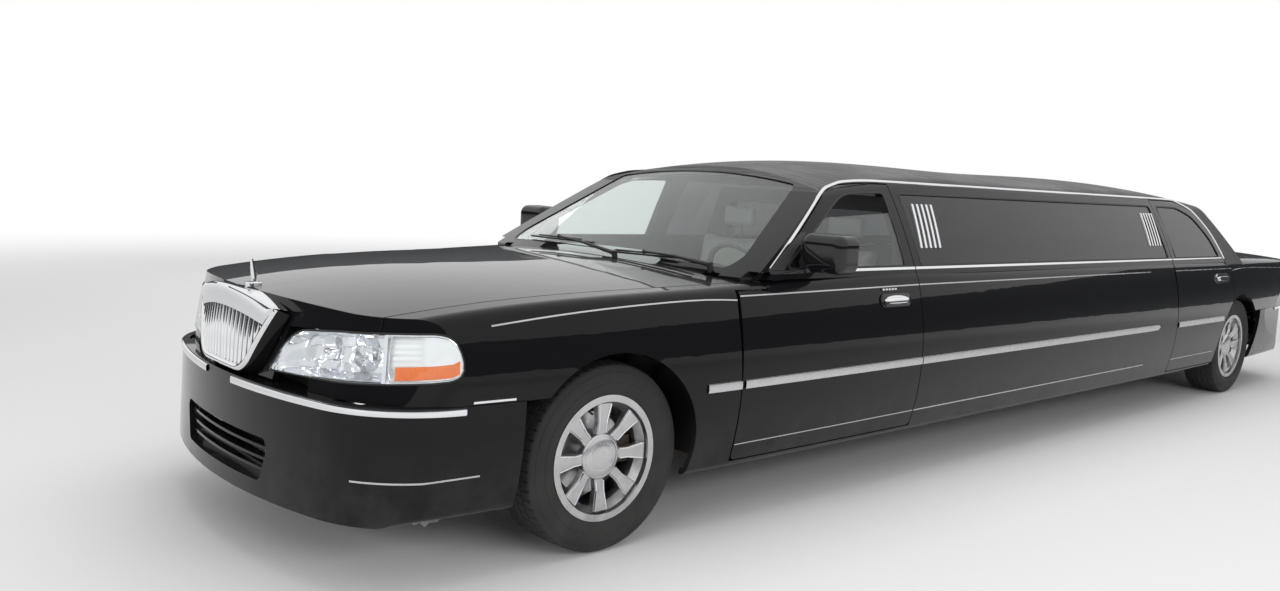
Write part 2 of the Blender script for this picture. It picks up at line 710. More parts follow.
def glass_finishes(colours):
    """Clear, tinted, lens, amber and red: each lets light through to what is behind."""
    rows = (
        ("clear_glass", (0.78, 0.84, 0.82), 0.0, 1.0),
        ("tinted_glass", (0.055, 0.058, 0.062), 0.0, 1.0),
        ("lamp_lens", (0.93, 0.95, 0.96), 0.0, 1.0),
        ("amber_lens", colours.amber, 0.18, 0.35),
        ("red_lens", (0.38, 0.006, 0.008), 0.10, 0.25),
    )
    for name, colour, rough, through in rows:
        tree, shader = start_finish(name, colour, rough, Transmission_Weight=through, IOR=1.45)
        if through < 1.0:
            shader.inputs["Coat Weight"].default_value = 1.0
            ribs = wire(tree, "ShaderNodeTexWave", {"bands_direction": "X"},
                        {"Vector": own_place(tree), "Scale": 45.0})
            bump(tree, shader, ribs.outputs["Fac"], 0.35, 0.001)
            continue
        shadow = wire(tree, "ShaderNodeLightPath").outputs["Is Shadow Ray"]
        clear = wire(tree, "ShaderNodeBsdfTransparent", None, {"Color": (*colour[:3], 1.0)})
        mix = wire(tree, "ShaderNodeMixShader", None,
                   {0: shadow, 1: shader.outputs["BSDF"], 2: clear.outputs["BSDF"]})
        tree.links.new(mix.outputs["Shader"], tree.nodes["Material Output"].inputs["Surface"])


def finish_node(name, finish):
    """Give a frame piece its material."""
    node = frame["nodes"][name]
    if not node.material_slots:
        node.data.materials.append(FINISHES[finish])
    for held in node.material_slots:
        held.material = FINISHES[finish]


# How finely the mirrors and handles are remeshed, and how often they are smoothed
ROUND_VOXEL = 0.0036
ROUND_PASSES = 16
# Each finish, with the pieces of the frame that take it
NODE_FINISHES = (
    ("body_paint", ("hood", "trunk_lid", "rear_deck", "front_bumper", "rear_bumper", "cowl",
                    "windscreen_pillars")),
    ("roof_vinyl", ("roof",)),
    ("clear_glass", ("windscreen", "door_glass_front_left", "door_glass_front_right")),
    ("tinted_glass", ("dark_glass", "door_glass_rear_left", "door_glass_rear_right")),
    ("grille_chrome", ("grille",)),
    ("bright_trim", ("louvres", "door_trim_rear_left", "door_trim_rear_right")),
    ("chassis_black", ("chassis_frame", "front_suspension")),
    ("cast_grey", ("engine_block", "rear_axle", "knuckle_left", "knuckle_right")),
    ("bare_steel", ("exhaust",)),
    ("carpet", ("floor_pan",)),
    ("cabin_plastic", ("dash", "partition")),
    ("red_lens", ("tail_lamps",)),
)


class LIMOUSINE_OT_finish_panels(bpy.types.Operator):
    """Make the finishes and give each frame piece its own."""
    bl_idname = "limousine.finish_panels"
    bl_label = "Finish the panels"

    def execute(self, context):
        make_finishes(context.scene.limousine_colours)
        for finish, names in NODE_FINISHES:
            for name in names:
                finish_node(name, finish)
        for side, _ in SIDES:
            finish_node("fender_" + side, "body_paint")
            finish_node("quarter_" + side, "body_paint")
            for name in ("side_panel_", "door_front_", "door_rear_"):
                finish_node(name + side, "door_paint")
            for end in ("front", "rear"):
                finish_node("rim_%s_%s" % (end, side), "wheel_silver")
                finish_node("tyre_%s_%s" % (end, side), "tyre_black")
            finish_node("door_trim_front_" + side, "mirror_and_handle")
            self.round_off(frame["nodes"]["door_trim_front_" + side])
        return {"FINISHED"}

    def round_off(self, node):
        """Round the edges of a moulded piece."""
        even = node.modifiers.new("Even", "REMESH")
        even.mode = "VOXEL"
        even.voxel_size = ROUND_VOXEL
        even.use_smooth_shade = True
        soft = node.modifiers.new("Soft", "SMOOTH")
        soft.factor = 0.5
        soft.iterations = ROUND_PASSES


def grille_finish():
    """Bright on the front of the grille and dark along its sides and deep between its bars."""
    tree, shader = start_finish("grille_chrome", CHROME, 0.06, 1.0)
    place = own_place(tree)
    shift = wire(tree, "ShaderNodeVectorMath", {"operation": "SUBTRACT"},
                 {0: place, 1: tuple(grille_point(0, 0, -GRILLE_BRIGHT_DEPTH, 0))})
    depth = wire(tree, "ShaderNodeVectorMath", {"operation": "DOT_PRODUCT"},
                 {0: shift.outputs["Vector"], 1: tuple(grille_point(0, 0, 1) - grille_point(0, 0, 0))})
    behind = maths(tree, "LESS_THAN", depth.outputs["Value"], 0.0)
    under = maths(tree, "LESS_THAN", along(tree, place, "Z"), GRILLE_TOP_Z - GRILLE_TOP_BAND)
    dark = maths(tree, "MULTIPLY", behind, under)
    tint(tree, shader, dark, NEAR_BLACK)
    tree.links.new(maths(tree, "SUBTRACT", 1.0, dark), shader.inputs["Metallic"])


# The bright pull of the handle, as (y, z) of its middle and half its length and height
HANDLE_SPOT = (FRONT_AXLE_Y + 1.634, 0.874)
HANDLE_PULL = (0.092, 0.019)


def mirror_and_handle_finish():
    """Black paint on the mirror and the handle's bed, and bright plating on the pull in its middle."""
    tree, shader = start_finish("mirror_and_handle", NEAR_BLACK, 0.08)
    half_long, half_high = HANDLE_PULL
    scaled = stretched(tree, (0.0, 1 / half_long, 1 / half_high),
                       (0.0, -HANDLE_SPOT[0] / half_long, -HANDLE_SPOT[1] / half_high))
    reach = wire(tree, "ShaderNodeVectorMath", {"operation": "LENGTH"}, {0: scaled})
    pull = maths(tree, "LESS_THAN", reach.outputs["Value"], 1.0)
    tint(tree, shader, pull, CHROME)
    tree.links.new(pull, shader.inputs["Metallic"])


# The grille leans back with the nose; its front plane starts at the body's widest height
GRILLE_LEAN = math.atan(NOSE_LEAN)
GRILLE_ORIGIN = Vector((0.0, FRONT_AXLE_Y - 1.030, WIDEST_Z))
GRILLE_TOP_Z = 0.906
GRILLE_HALF = 0.335
GRILLE_HIGH = 0.316
GRILLE_SIDE_HIGH = 0.272
# How deep behind its front, and how far down from its top, the grille is bright
GRILLE_BRIGHT_DEPTH = 0.012
GRILLE_TOP_BAND = 0.006
# How far its face bows forward at its foot, and more for each metre up
GRILLE_BOW, GRILLE_BOW_RISE = 0.024, 0.090
GRILLE_RIM = 0.022
GRILLE_COLLAR = 0.016
GRILLE_SHEET = 0.0015
GRILLE_SCREEN_HALF = 0.29
# Share of the cap that faces forward, before it rolls back
GRILLE_CAP_FRONT = 0.6
GRILLE_BARS = 10
# Half the widths of a bar and of the spine
GRILLE_BAR_HALF, GRILLE_SPINE_HALF = 0.0085, 0.0125
GRILLE_LOW_X, GRILLE_LOW = 0.190, 0.034
GRILLE_EDGE = ((-GRILLE_HALF, GRILLE_SIDE_HIGH), (-GRILLE_LOW_X, GRILLE_LOW), (GRILLE_LOW_X, GRILLE_LOW),
               (GRILLE_HALF, GRILLE_SIDE_HIGH))


def grille_point(x, rise, out, bowed=1.0):
    """A point on the grille: across, up the slope, and out from its bowed front."""
    up = Vector((0.0, math.sin(GRILLE_LEAN), math.cos(GRILLE_LEAN)))
    ahead = Vector((0.0, -math.cos(GRILLE_LEAN), math.sin(GRILLE_LEAN)))
    bow = bowed * (GRILLE_BOW + GRILLE_BOW_RISE * rise) * (1 - (x / GRILLE_HALF) ** 2)
    return GRILLE_ORIGIN + Vector((x, 0.0, 0.0)) + up * rise + ahead * (out + bow)


def even_path(points, radii, count):
    """Points at even distances along an outline with rounded corners."""
    path = evenly(rounded([Vector(point) for point in points], radii), 0.004)
    ways = [0.0]
    for start, end in zip(path, path[1:]):
        ways.append(ways[-1] + (end - start).length)
    made, index = [], 0
    for step in range(count + 1):
        way = ways[-1] * step / count
        while index < len(ways) - 2 and ways[index + 1] < way:
            index += 1
        share = (way - ways[index]) / (ways[index + 1] - ways[index])
        made.append(path[index].lerp(path[index + 1], share))
    return made


GRILLE_RING = even_path(GRILLE_EDGE, (0.0, 0.120, 0.120, 0.0), 80)


def grille_span(x):
    """Lowest and highest places of the grille's opening at a distance from the middle."""
    ring = spread(GRILLE_RING, GRILLE_RIM * 0.75)
    low = min((abs(point.x - x), point.y) for point in ring)[1]
    high = GRILLE_HIGH - 0.060 - (GRILLE_HIGH - GRILLE_SIDE_HIGH) * (abs(x) / GRILLE_HALF) ** 2
    return low, high


class LIMOUSINE_OT_dress_grille(bpy.types.Operator):
    """Add the grille's rounded bars, its middle spine, its rim and its broad bright cap."""
    bl_idname = "limousine.dress_grille"
    bl_label = "Dress the grille"

    def execute(self, context):
        self.bars()
        self.rim()
        self.cap()
        return {"FINISHED"}

    def bars(self):
        """Rounded bars, the spine and the dark screen behind them."""
        pitch = (GRILLE_HALF - 0.020) / (GRILLE_BARS + 0.5)
        bar_places = [pitch * (n + 0.95) for n in range(GRILLE_BARS)]
        for name, places, half in (("grille_bars", bar_places, GRILLE_BAR_HALF),
                                   ("grille_spine", [0.0], GRILLE_SPINE_HALF)):
            bm = bmesh.new()
            for x in sorted({sign * spot for spot in places for sign in (1, -1)}):
                low, high = grille_span(x)
                if high - low < 0.02:
                    continue

                def bar(u, v, x=x, low=low, high=high):
                    turn = math.radians(-90 + 180 * u)
                    bow = 0.003 * (1 - (2 * v - 1) ** 2)
                    return grille_point(x + half * math.sin(turn), low + (high - low) * v,
                                        -0.010 + bow + 0.009 * math.cos(turn))
                add_sheet(bm, 10, 16, bar, thickness=0.001)
            new_piece(name, bm, "bright_trim", "hood_panel")

        def screen(u, v):
            x = GRILLE_SCREEN_HALF * (2 * u - 1)
            low, high = grille_span(x)
            return grille_point(x, low - 0.006 + (high + 0.012 - low) * v, -0.0105)
        sheet_piece("grille_screen", "black_rubber", "hood_panel", 60, 12, screen,
                    GRILLE_SHEET)

    def rim(self):
        """A bright rim down the sides and under the bars, in a black collar."""
        last = len(GRILLE_RING) - 1
        inner, outer = spread(GRILLE_RING, GRILLE_RIM), spread(GRILLE_RING, -GRILLE_COLLAR)

        def rim(u, v):
            index = round(u * last)
            spot = GRILLE_RING[index].lerp(inner[index], v)
            return grille_point(spot.x, spot.y, -0.009 + 0.014 * math.sin(math.pi * (0.12 + 0.80 * v)))

        def collar(u, v):
            index = round(u * last)
            spot = GRILLE_RING[index].lerp(outer[index], v)
            return grille_point(spot.x, spot.y, -0.006 - 0.034 * v ** 1.5, 1.0 - 0.9 * v)
        for name, place, finish in (("grille_rim", rim, "bright_trim"),
                                    ("grille_collar", collar, "body_paint")):
            sheet_piece(name, finish, "hood_panel", last, 10, place, GRILLE_SHEET)

    def cap(self):
        """A broad band over the top of the opening that rolls back onto the hood."""
        def band(u, v):
            x = GRILLE_HALF * 0.985 * (2 * u - 1)
            reach = abs(x) / GRILLE_HALF
            top = GRILLE_HIGH - (GRILLE_HIGH - GRILLE_SIDE_HIGH) * reach ** 2
            slope = (GRILLE_SIDE_HIGH - GRILLE_LOW) / (GRILLE_HALF - GRILLE_LOW_X)
            edge = GRILLE_LOW + (abs(x) - GRILLE_LOW_X) * slope
            low = min(max(grille_span(x)[1] - 0.012, edge), top - 0.006)
            if v < GRILLE_CAP_FRONT:
                share = v / GRILLE_CAP_FRONT
                bulge = 0.009 * math.sin(math.pi * share * 0.5)
                return grille_point(x, low + (top - low) * share, 0.001 + bulge)
            roll = (v - GRILLE_CAP_FRONT) / (1 - GRILLE_CAP_FRONT)
            return grille_point(x, top + 0.006 * math.sin(math.pi * min(roll, 0.5)) - 0.002 * roll,
                                0.010 - 0.050 * roll * roll, 1 - roll * roll)
        sheet_piece("grille_cap", "bright_trim", "hood_panel", 40, 20, band, GRILLE_SHEET)


# Tyres and wheels
TREAD_HALF = 0.088
TREAD_DROP = 0.005
TREAD_EDGE = 0.074
GROOVE_PLACES = (-0.056, -0.019, 0.019, 0.056)
GROOVE_HALF = 0.004
# Share of a groove's width that is its floor, and from a groove's middle to the next rib's
GROOVE_FLOOR = 0.7
RIB_STEP = 0.0185
# From the bead out and up to the shoulder: (distance out, radius)
SIDEWALL = (
    (0.092, 0.2165), (0.0925, 0.233), (0.0985, 0.2365), (0.0995, 0.2395), (0.1005, 0.2425),
    (0.1055, 0.254), (0.1105, 0.270), (0.1122, 0.2785), (0.1108, 0.2795), (0.1118, 0.2865), (0.1124, 0.2875),
    (0.1115, 0.300), (0.1092, 0.315), (0.1080, 0.3185), (0.1064, 0.3195), (0.1058, 0.3235), (0.1068, 0.3250),
    (0.1042, 0.334), (0.1022, 0.3385), (0.0985, 0.3425), (0.0935, 0.3452),
)


def tread_radius(out):
    """The tread's radius at a distance from its middle."""
    return TYRE_RADIUS - TREAD_DROP * (out / TREAD_HALF) ** 2


def tyre_profile(depth):
    """Half the carcass up, across the grooved tread, and down the other side."""
    tread = [(out, tread_radius(out)) for out in (TREAD_HALF, TREAD_EDGE)]
    for groove in reversed(GROOVE_PLACES):
        tread += [(groove + GROOVE_HALF, tread_radius(groove + GROOVE_HALF)),
                  (groove + GROOVE_HALF * GROOVE_FLOOR, TYRE_RADIUS - depth),
                  (groove - GROOVE_HALF * GROOVE_FLOOR, TYRE_RADIUS - depth),
                  (groove - GROOVE_HALF, tread_radius(groove - GROOVE_HALF))]
        if groove != GROOVE_PLACES[0]:
            tread.append((groove - RIB_STEP, tread_radius(groove - RIB_STEP)))
    tread += [(-out, tread_radius(out)) for out in (TREAD_EDGE, TREAD_HALF)]
    return list(SIDEWALL) + tread + [(-out, radius) for out, radius in reversed(SIDEWALL)]


def cut_sipes(verts, centre, steps, depth):
    """Press the tread in along short cross grooves, staggered from rib to rib."""
    for vert in verts:
        out = vert.co.x - centre.x
        y, z = vert.co.y - centre.y, vert.co.z - centre.z
        radius = math.hypot(y, z)
        if radius < TYRE_RADIUS - depth * 0.95:
            continue
        turn = round(math.atan2(y, z) / (2 * math.pi) * steps) % steps
        shoulder = abs(out) > 0.062
        phase = turn % 8
        if (shoulder and phase == 0) or (not shoulder and phase == (3 if out > 0 else 6)):
            sink = (radius - depth * (0.8 if shoulder else 0.5)) / radius
            vert.co.y = centre.y + y * sink
            vert.co.z = centre.z + z * sink


class LIMOUSINE_OT_fit_tyres(bpy.types.Operator):
    """Mould the four tyres with their tread and sidewall rings."""
    bl_idname = "limousine.fit_tyres"
    bl_label = "Fit the tyres"

    def execute(self, context):
        sizes = context.scene.limousine_sizes
        for end, side, sign in CORNERS:
            centre = Vector(JOINTS["wheel_%s_%s_spin" % (end, side)]["pos_m"])
            bm = bmesh.new()
            made = add_spin(bm, tyre_profile(sizes.groove_depth), centre, sizes.tread_steps, sign, True)
            cut_sipes(made, centre, sizes.tread_steps, sizes.groove_depth)
            tyre = new_piece("tread_%s_%s" % (end, side), bm, "tyre_black",
                             "wheel_%s_%s" % (end, side), math.radians(30.0))
            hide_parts("tyre_%s_%s" % (end, side))
        return {"FINISHED"}


# The cap that covers the nuts: (distance out, radius)
CAP_PROFILE = (
    (0.0640, 0.0865), (0.0690, 0.0860), (0.0740, 0.0825), (0.0765, 0.0760), (0.0755, 0.0735),
    (0.0770, 0.0715), (0.0800, 0.0560), (0.0812, 0.0505), (0.0800, 0.0485), (0.0806, 0.0465),
    (0.0825, 0.0300), (0.0830, 0.0005),
)
# The raised edges of the spokes: (radius, distance out, half the spoke's width), and the valve's stem
SPOKE_RUN = ((0.090, 0.0715, 0.0175), (0.125, 0.0765, 0.0170), (0.196, 0.0845, 0.0285))
VALVE_RUN = ((0.203, 0.070), (0.190, 0.086), (0.184, 0.100))


class LIMOUSINE_OT_trim_wheels(bpy.types.Operator):
    """Add the round caps, spoke edges and valve stems."""
    bl_idname = "limousine.trim_wheels"
    bl_label = "Trim the wheels"

    def execute(self, context):
        count = context.scene.limousine_sizes.spoke_count
        for end, side, sign in CORNERS:
            centre = Vector(JOINTS["wheel_%s_%s_spin" % (end, side)]["pos_m"])
            body = "wheel_%s_%s" % (end, side)
            bm = bmesh.new()
            add_spin(bm, CAP_PROFILE, centre, 72, sign)
            new_piece("cap_%s_%s" % (end, side), bm, "satin_silver", body)
            bm = bmesh.new()
            for index in range(count):
                turn = Matrix.Rotation(2 * math.pi * index / count, 4, "X")
                for edge in (1, -1):
                    spots = [centre + turn @ Vector((sign * out, edge * half, radius))
                             for radius, out, half in SPOKE_RUN]
                    add_chain(bm, spots, 0.0032)
            new_piece("spoke_edges_%s_%s" % (end, side), bm, "bright_trim", body)
            bm = bmesh.new()
            turn = Matrix.Rotation(math.pi / count, 4, "X")
            stem = [centre + turn @ Vector((sign * out, 0, radius)) for radius, out in VALVE_RUN]
            add_rod(bm, stem[0], stem[1], 0.0050)
            add_rod(bm, stem[1], stem[2], 0.0042)
            new_piece("valve_%s_%s" % (end, side), bm, "black_rubber", body)
        return {"FINISHED"}


# Side trim: heights of the lines along the car, as (y, z)
ARCH_LINE = ((FRONT_AXLE_Y - 0.585, 0.622), (FRONT_AXLE_Y - 0.43, 0.622))
MOULDING_LINE = ((FRONT_AXLE_Y + 0.425, 0.579), (REAR_AXLE_Y - 0.385, 0.585))
LOW_PINSTRIPE = ((FRONT_DOOR[0].y + 0.004, 0.332), (FRONT_AXLE_Y + 1.84, 0.338), (REAR_AXLE_Y - 0.47, 0.352))
HIGH_PINSTRIPE = (
    (FRONT_AXLE_Y - 0.512, 0.862), (FRONT_AXLE_Y - 0.26, 0.888), (FRONT_AXLE_Y - 0.06, 0.902),
    (FRONT_AXLE_Y + 0.25, 0.914), (FRONT_AXLE_Y + 0.62, 0.923), (FRONT_AXLE_Y + 1.80, 0.934),
    (REAR_AXLE_Y - 1.25, 0.938), (REAR_AXLE_Y + 0.30, 0.934), (REAR_AXLE_Y + 1.05, 0.915),
)


class LIMOUSINE_OT_lay_side_trim(bpy.types.Operator):
    """Lay the wide moulding and the painted lines down both sides."""
    bl_idname = "limousine.lay_side_trim"
    bl_label = "Lay the side trim"

    def execute(self, context):
        sizes = context.scene.limousine_sizes
        trim_run("moulding", MOULDING_LINE, sizes.moulding_width, 0.007, "satin_silver",
                 "bright_trim")
        for name, line in (("low_line", LOW_PINSTRIPE), ("high_line", HIGH_PINSTRIPE)):
            trim_run(name, line, sizes.pinstripe_width, 0.0008, "satin_silver", "bright_trim",
                     rows=FLAT_ROWS)
        return {"FINISHED"}


# Door heads and windows, as the frame has them, and how far a window stays from its pillar
WINDOW_BACK = 0.062
WINDOW_PANEL_BACK = 0.052
FRONT_HEAD = (
    (pillar_y(BELT_POINT[1]) + PILLAR_EDGE, 0.985), (pillar_y(1.345) + PILLAR_EDGE, 1.345),
    (FRONT_DOOR[0].y + 0.850, 1.374), (FRONT_DOOR[0].y + 1.010, DOOR_TOP_Z - 0.003),
    (FRONT_DOOR[1].y, DOOR_TOP_Z),
)
REAR_HEAD = (
    (REAR_DOOR[0].y, DOOR_TOP_Z), (REAR_AXLE_Y - 0.800, DOOR_TOP_Z - 0.002),
    (REAR_AXLE_Y - 0.560, 1.330), (REAR_AXLE_Y - 0.395, 1.180), (REAR_AXLE_Y - 0.325, 1.040),
    (REAR_AXLE_Y - 0.310, 1.000),
)
# The outline of each window as (y, z), with the radius of each corner
WINDOWS = {
    "front": (((FRONT_HEAD[0][0] + 0.118, WINDOW_LOW_Z), (FRONT_HEAD[1][0] + 0.062, 1.312),
               (FRONT_DOOR[0].y + 0.870, WINDOW_HIGH_Z - 0.012),
               (FRONT_DOOR[0].y + 1.010, WINDOW_HIGH_Z - 0.002),
               (FRONT_DOOR[1].y - WINDOW_BACK, WINDOW_HIGH_Z),
               (FRONT_DOOR[1].y - WINDOW_BACK, WINDOW_LOW_Z)),
              (0.014, 0.060, 0.090, 0.0, 0.022, 0.014)),
    "long": (((FRONT_DOOR[1].y + WINDOW_BACK, WINDOW_LOW_Z),
              (FRONT_DOOR[1].y + WINDOW_BACK, WINDOW_HIGH_Z),
              (REAR_DOOR[0].y - WINDOW_PANEL_BACK, WINDOW_HIGH_Z),
              (REAR_DOOR[0].y - WINDOW_PANEL_BACK, WINDOW_LOW_Z)),
             (0.014, 0.022, 0.022, 0.014)),
    "rear": (((REAR_DOOR[0].y + WINDOW_BACK, WINDOW_LOW_Z),
              (REAR_DOOR[0].y + WINDOW_BACK, WINDOW_HIGH_Z),
              (REAR_AXLE_Y - 0.810, WINDOW_HIGH_Z - 0.002), (REAR_AXLE_Y - 0.610, 1.296),
              (REAR_AXLE_Y - 0.445, 1.150), (REAR_AXLE_Y - 0.378, WINDOW_LOW_Z)),
             (0.014, 0.022, 0.160, 0.110, 0.160, 0.014)),
}
DRIP_LOW_Z = 1.022
DRIP_OUT = 0.0145
BELT_TRIM_Z = 1.0085


def on_house(side):
    """A place function for the greenhouse's side."""
    def place(y, z, lift):
        return house_point(y, z, side, lift)
    return place


class LIMOUSINE_OT_trim_windows(bpy.types.Operator):
    """Fit the rubber seals, the bright belt line and the bright drip line over the doors."""
    bl_idname = "limousine.trim_windows"
    bl_label = "Trim the windows"

    def execute(self, context):
        width = context.scene.limousine_sizes.chrome_width
        for side_name, side in SIDES:
            for window, (points, radii) in WINDOWS.items():
                path = evenly(rounded(points, radii, closed=True), 0.08)
                body = "chassis" if window == "long" else "%s_door_%s" % (window, side_name)
                strip_piece("seal_%s_%s" % (window, side_name), "black_rubber", body, "tyre_black", path,
                            0.011, 0.0022, on_house(side), closed=True)
            self.drip_line(side_name, side, width)
        belt = ((pillar_y(BELT_POINT[1]) + 0.062, BELT_TRIM_Z), (REAR_AXLE_Y - 0.345, BELT_TRIM_Z))
        trim_run("belt_trim", belt, width, 0.0035, "bright_trim", "bright_trim", place_on=on_house)
        return {"FINISHED"}

    def drip_line(self, side_name, side, width):
        """Up the windscreen pillar, along over the doors and down behind the rear door."""
        head = spread(rounded(FRONT_HEAD, (0, 0.06, 0.12, 0, 0)), DRIP_OUT)
        tail = spread(rounded(REAR_HEAD, (0, 0.18, 0.15, 0.18, 0.09, 0)), DRIP_OUT)
        start = head[0].lerp(head[1], (DRIP_LOW_Z - head[0].y) / (head[1].y - head[0].y))
        path = evenly([start] + head[1:] + tail, 0.05)
        on_roof = side_place(side, "roof", "windscreen_pillars")

        def place(y, z, lift):
            flat, spot = house_point(y, z, side, lift + 0.003), on_roof(y, z, lift)
            return spot if abs(spot.x - flat.x) < 0.014 and (spot - flat).length < 0.02 else flat
        strip_piece("drip_line_" + side_name, "bright_trim", "chassis", "bright_trim", path, width, 0.0035,
                    place)


# Middles that the angles of strips round the nose and the tail are read about
BUMPER_CENTRE = Vector((0.0, FRONT_AXLE_Y - 0.45, 0.0))
TAIL_CENTRE = Vector((0.0, REAR_AXLE_Y + 0.75, 0.0))


def around(tree, centre, towards):
    """A place function that reads its first value as an angle round a centre."""
    def place(angle, z, lift):
        heading = Vector((math.sin(angle), towards * math.cos(angle), 0))
        start = centre + heading * 2.5
        return cast(tree, (start.x, start.y, z), -heading, lift)
    return place


# Strips round the bumpers: name, piece, middle, side that it faces, first and last angle and height, width,
# height of its crown, finish and cross-section
WRAP_STEPS = 60
WRAP_STRIPS = (
    ("front_bumper_strip", "front_bumper", BUMPER_CENTRE, -1, (11.0, 80.0), (0.592, 0.597), 0.026, 0.007,
     "bright_trim", STRIP_ROWS),
    ("front_bumper_line", "front_bumper", BUMPER_CENTRE, -1, (58.0, 84.0), (0.372, 0.374), 0.005, 0.0008,
     "satin_silver", FLAT_ROWS),
    ("rear_bumper_strip", "rear_bumper", TAIL_CENTRE, 1, (2.0, 86.0), (0.596, 0.598), 0.020, 0.005,
     "bright_trim", STRIP_ROWS),
)


def wrap_strip(name, node, centre, towards, angles, heights, width, height, finish, rows):
    """A strip round the front or back, from one angle to another, on both sides."""
    place = around(surface(node), centre, towards)
    for side_name, side in SIDES:
        path = []
        for step in range(WRAP_STEPS + 1):
            share = step / WRAP_STEPS
            path.append((side * math.radians(angles[0] + (angles[1] - angles[0]) * share),
                         heights[0] + (heights[1] - heights[0]) * share))
        strip_piece(name + "_" + side_name, finish, "chassis", "bright_trim", path, width, height, place,
                    rows=rows)


# The splash shield: its outer edge, where it starts, its length, its sag and how far its edge is torn
SHIELD_STEPS = 12
SHIELD_X, SHIELD_Z = 0.862, 0.266
SHIELD_Y, SHIELD_LENGTH = FRONT_AXLE_Y - 0.76, 0.26
SHIELD_SAG = 0.058
SHIELD_TEARS = (-0.010, 0.016)


class LIMOUSINE_OT_trim_bumpers(bpy.types.Operator):
    """Wrap the bright strips and painted lines round the bumpers and add the torn splash shield."""
    bl_idname = "limousine.trim_bumpers"
    bl_label = "Trim the bumpers"

    def execute(self, context):
        for row in WRAP_STRIPS:
            wrap_strip(*row)
        trim_run("arch_strip", ARCH_LINE, 0.010, 0.003, "bright_trim", "bright_trim")
        self.splash_shield()
        return {"FINISHED"}

    def splash_shield(self):
        """The grey under-tray with its torn edge hanging below the left of the front bumper."""
        rng = random.Random(7)
        tears = [rng.uniform(*SHIELD_TEARS) for _ in range(SHIELD_STEPS + 1)]

        def place(u, v):
            drop = SHIELD_SAG * math.sin(math.pi * min(1.0, 0.15 + u * 0.9)) * v
            x = SHIELD_X - 0.055 * u - 0.020 * v + 0.008 * math.sin(9 * u)
            edge = tears[round(u * SHIELD_STEPS)] * v
            return Vector((x, SHIELD_Y + SHIELD_LENGTH * u, SHIELD_Z - drop + edge))
        sheet_piece("splash_shield", "torn_plastic", "chassis", SHIELD_STEPS, 5, place,
                    0.003)


# Headlamps: the lens runs round the nose, read as an angle about a centre and a height
LAMP_CENTRE = (0.45, FRONT_AXLE_Y - 0.45)
LAMP_START, LAMP_END = -18.5, 70.5
LAMP_DIVIDER = 41.5
LAMP_POCKET = (-13.0, 57.0)
# The middles of the two bowls, and how deep the bed and the bowls lie behind the body's surface
LAMP_BOWLS = (8.0, 29.0)
LAMP_BED, LAMP_BOWL, LAMP_BOWL_REACH = 0.058, 0.034, 0.066
BULB_Z, BULB_DEPTH = 0.742, 0.074
# Metres along the surface to a degree, and up the lamp
LAMP_DEGREE, LAMP_HIGH = 0.0082, 0.145
# The reflector's facets: how many have a tilt of their own, their width in degrees and their rows
FACET_TILTS, FACET_START, FACET_DEGREES, FACET_ROWS = 41, 19.0, 4.1, 3
# The amber strip: degrees behind the divider and along the lamp, its gap below and its height
AMBER_START, AMBER_DEGREES, AMBER_GAP, AMBER_HIGH = 4.0, 23.0, 0.013, 0.042
LAMP_HIGH_LINE = ((-18.5, 0.668), (-14.0, 0.735), (-9.0, 0.781), (-3.0, 0.804), (20.0, 0.824), (45.0, 0.838),
                  (60.0, 0.843), (65.0, 0.834), (68.5, 0.803), (70.5, 0.748))
LAMP_LOW_LINE = ((-18.5, 0.648), (-10.0, 0.653), (20.0, 0.664), (45.0, 0.679), (60.0, 0.688), (66.0, 0.694),
                 (69.0, 0.706), (70.5, 0.726))
# The nose in plan: a flat arc between its corners, and a tight arc round each corner
NOSE_RADIUS, NOSE_CORNER_X, NOSE_CORNER_RADIUS = 2.6, 0.62, 0.417


def read_line(line, place):
    """The height of a line of points at a place."""
    for (x0, z0), (x1, z1) in zip(line, line[1:]):
        if place <= x1:
            return z0 + (z1 - z0) * max(0.0, (place - x0) / (x1 - x0))
    return line[-1][1]


def nose_spot(angle, z):
    """Where a ray from the lamp's centre leaves the nose, from its two arcs in plan."""
    heading = Vector((math.sin(angle), -math.cos(angle)))
    tilt = math.asin(NOSE_CORNER_X / NOSE_RADIUS)
    corner_x = NOSE_CORNER_X - NOSE_CORNER_RADIUS * math.sin(tilt)
    corner_y = NOSE_RADIUS - math.sqrt(NOSE_RADIUS ** 2 - NOSE_CORNER_X ** 2)
    corner_y += NOSE_CORNER_RADIUS * math.cos(tilt)
    front_y = FRONT_AXLE_Y - 1.0 + NOSE_LEAN * (z - WIDEST_Z)
    low, high = 0.0, 1.0
    for _ in range(24):
        reach = (low + high) / 2
        x = LAMP_CENTRE[0] + heading.x * reach
        behind = LAMP_CENTRE[1] + heading.y * reach - front_y
        if x <= NOSE_CORNER_X:
            inside = behind >= NOSE_RADIUS - math.sqrt(NOSE_RADIUS ** 2 - x * x)
        elif behind < corner_y:
            inside = math.hypot(x - corner_x, behind - corner_y) <= NOSE_CORNER_RADIUS
        else:
            inside = x <= corner_x + NOSE_CORNER_RADIUS
        low, high = (reach, high) if inside else (low, reach)
    return Vector((LAMP_CENTRE[0] + heading.x * low, LAMP_CENTRE[1] + heading.y * low, z)), heading


NOSE_SPOTS = {}


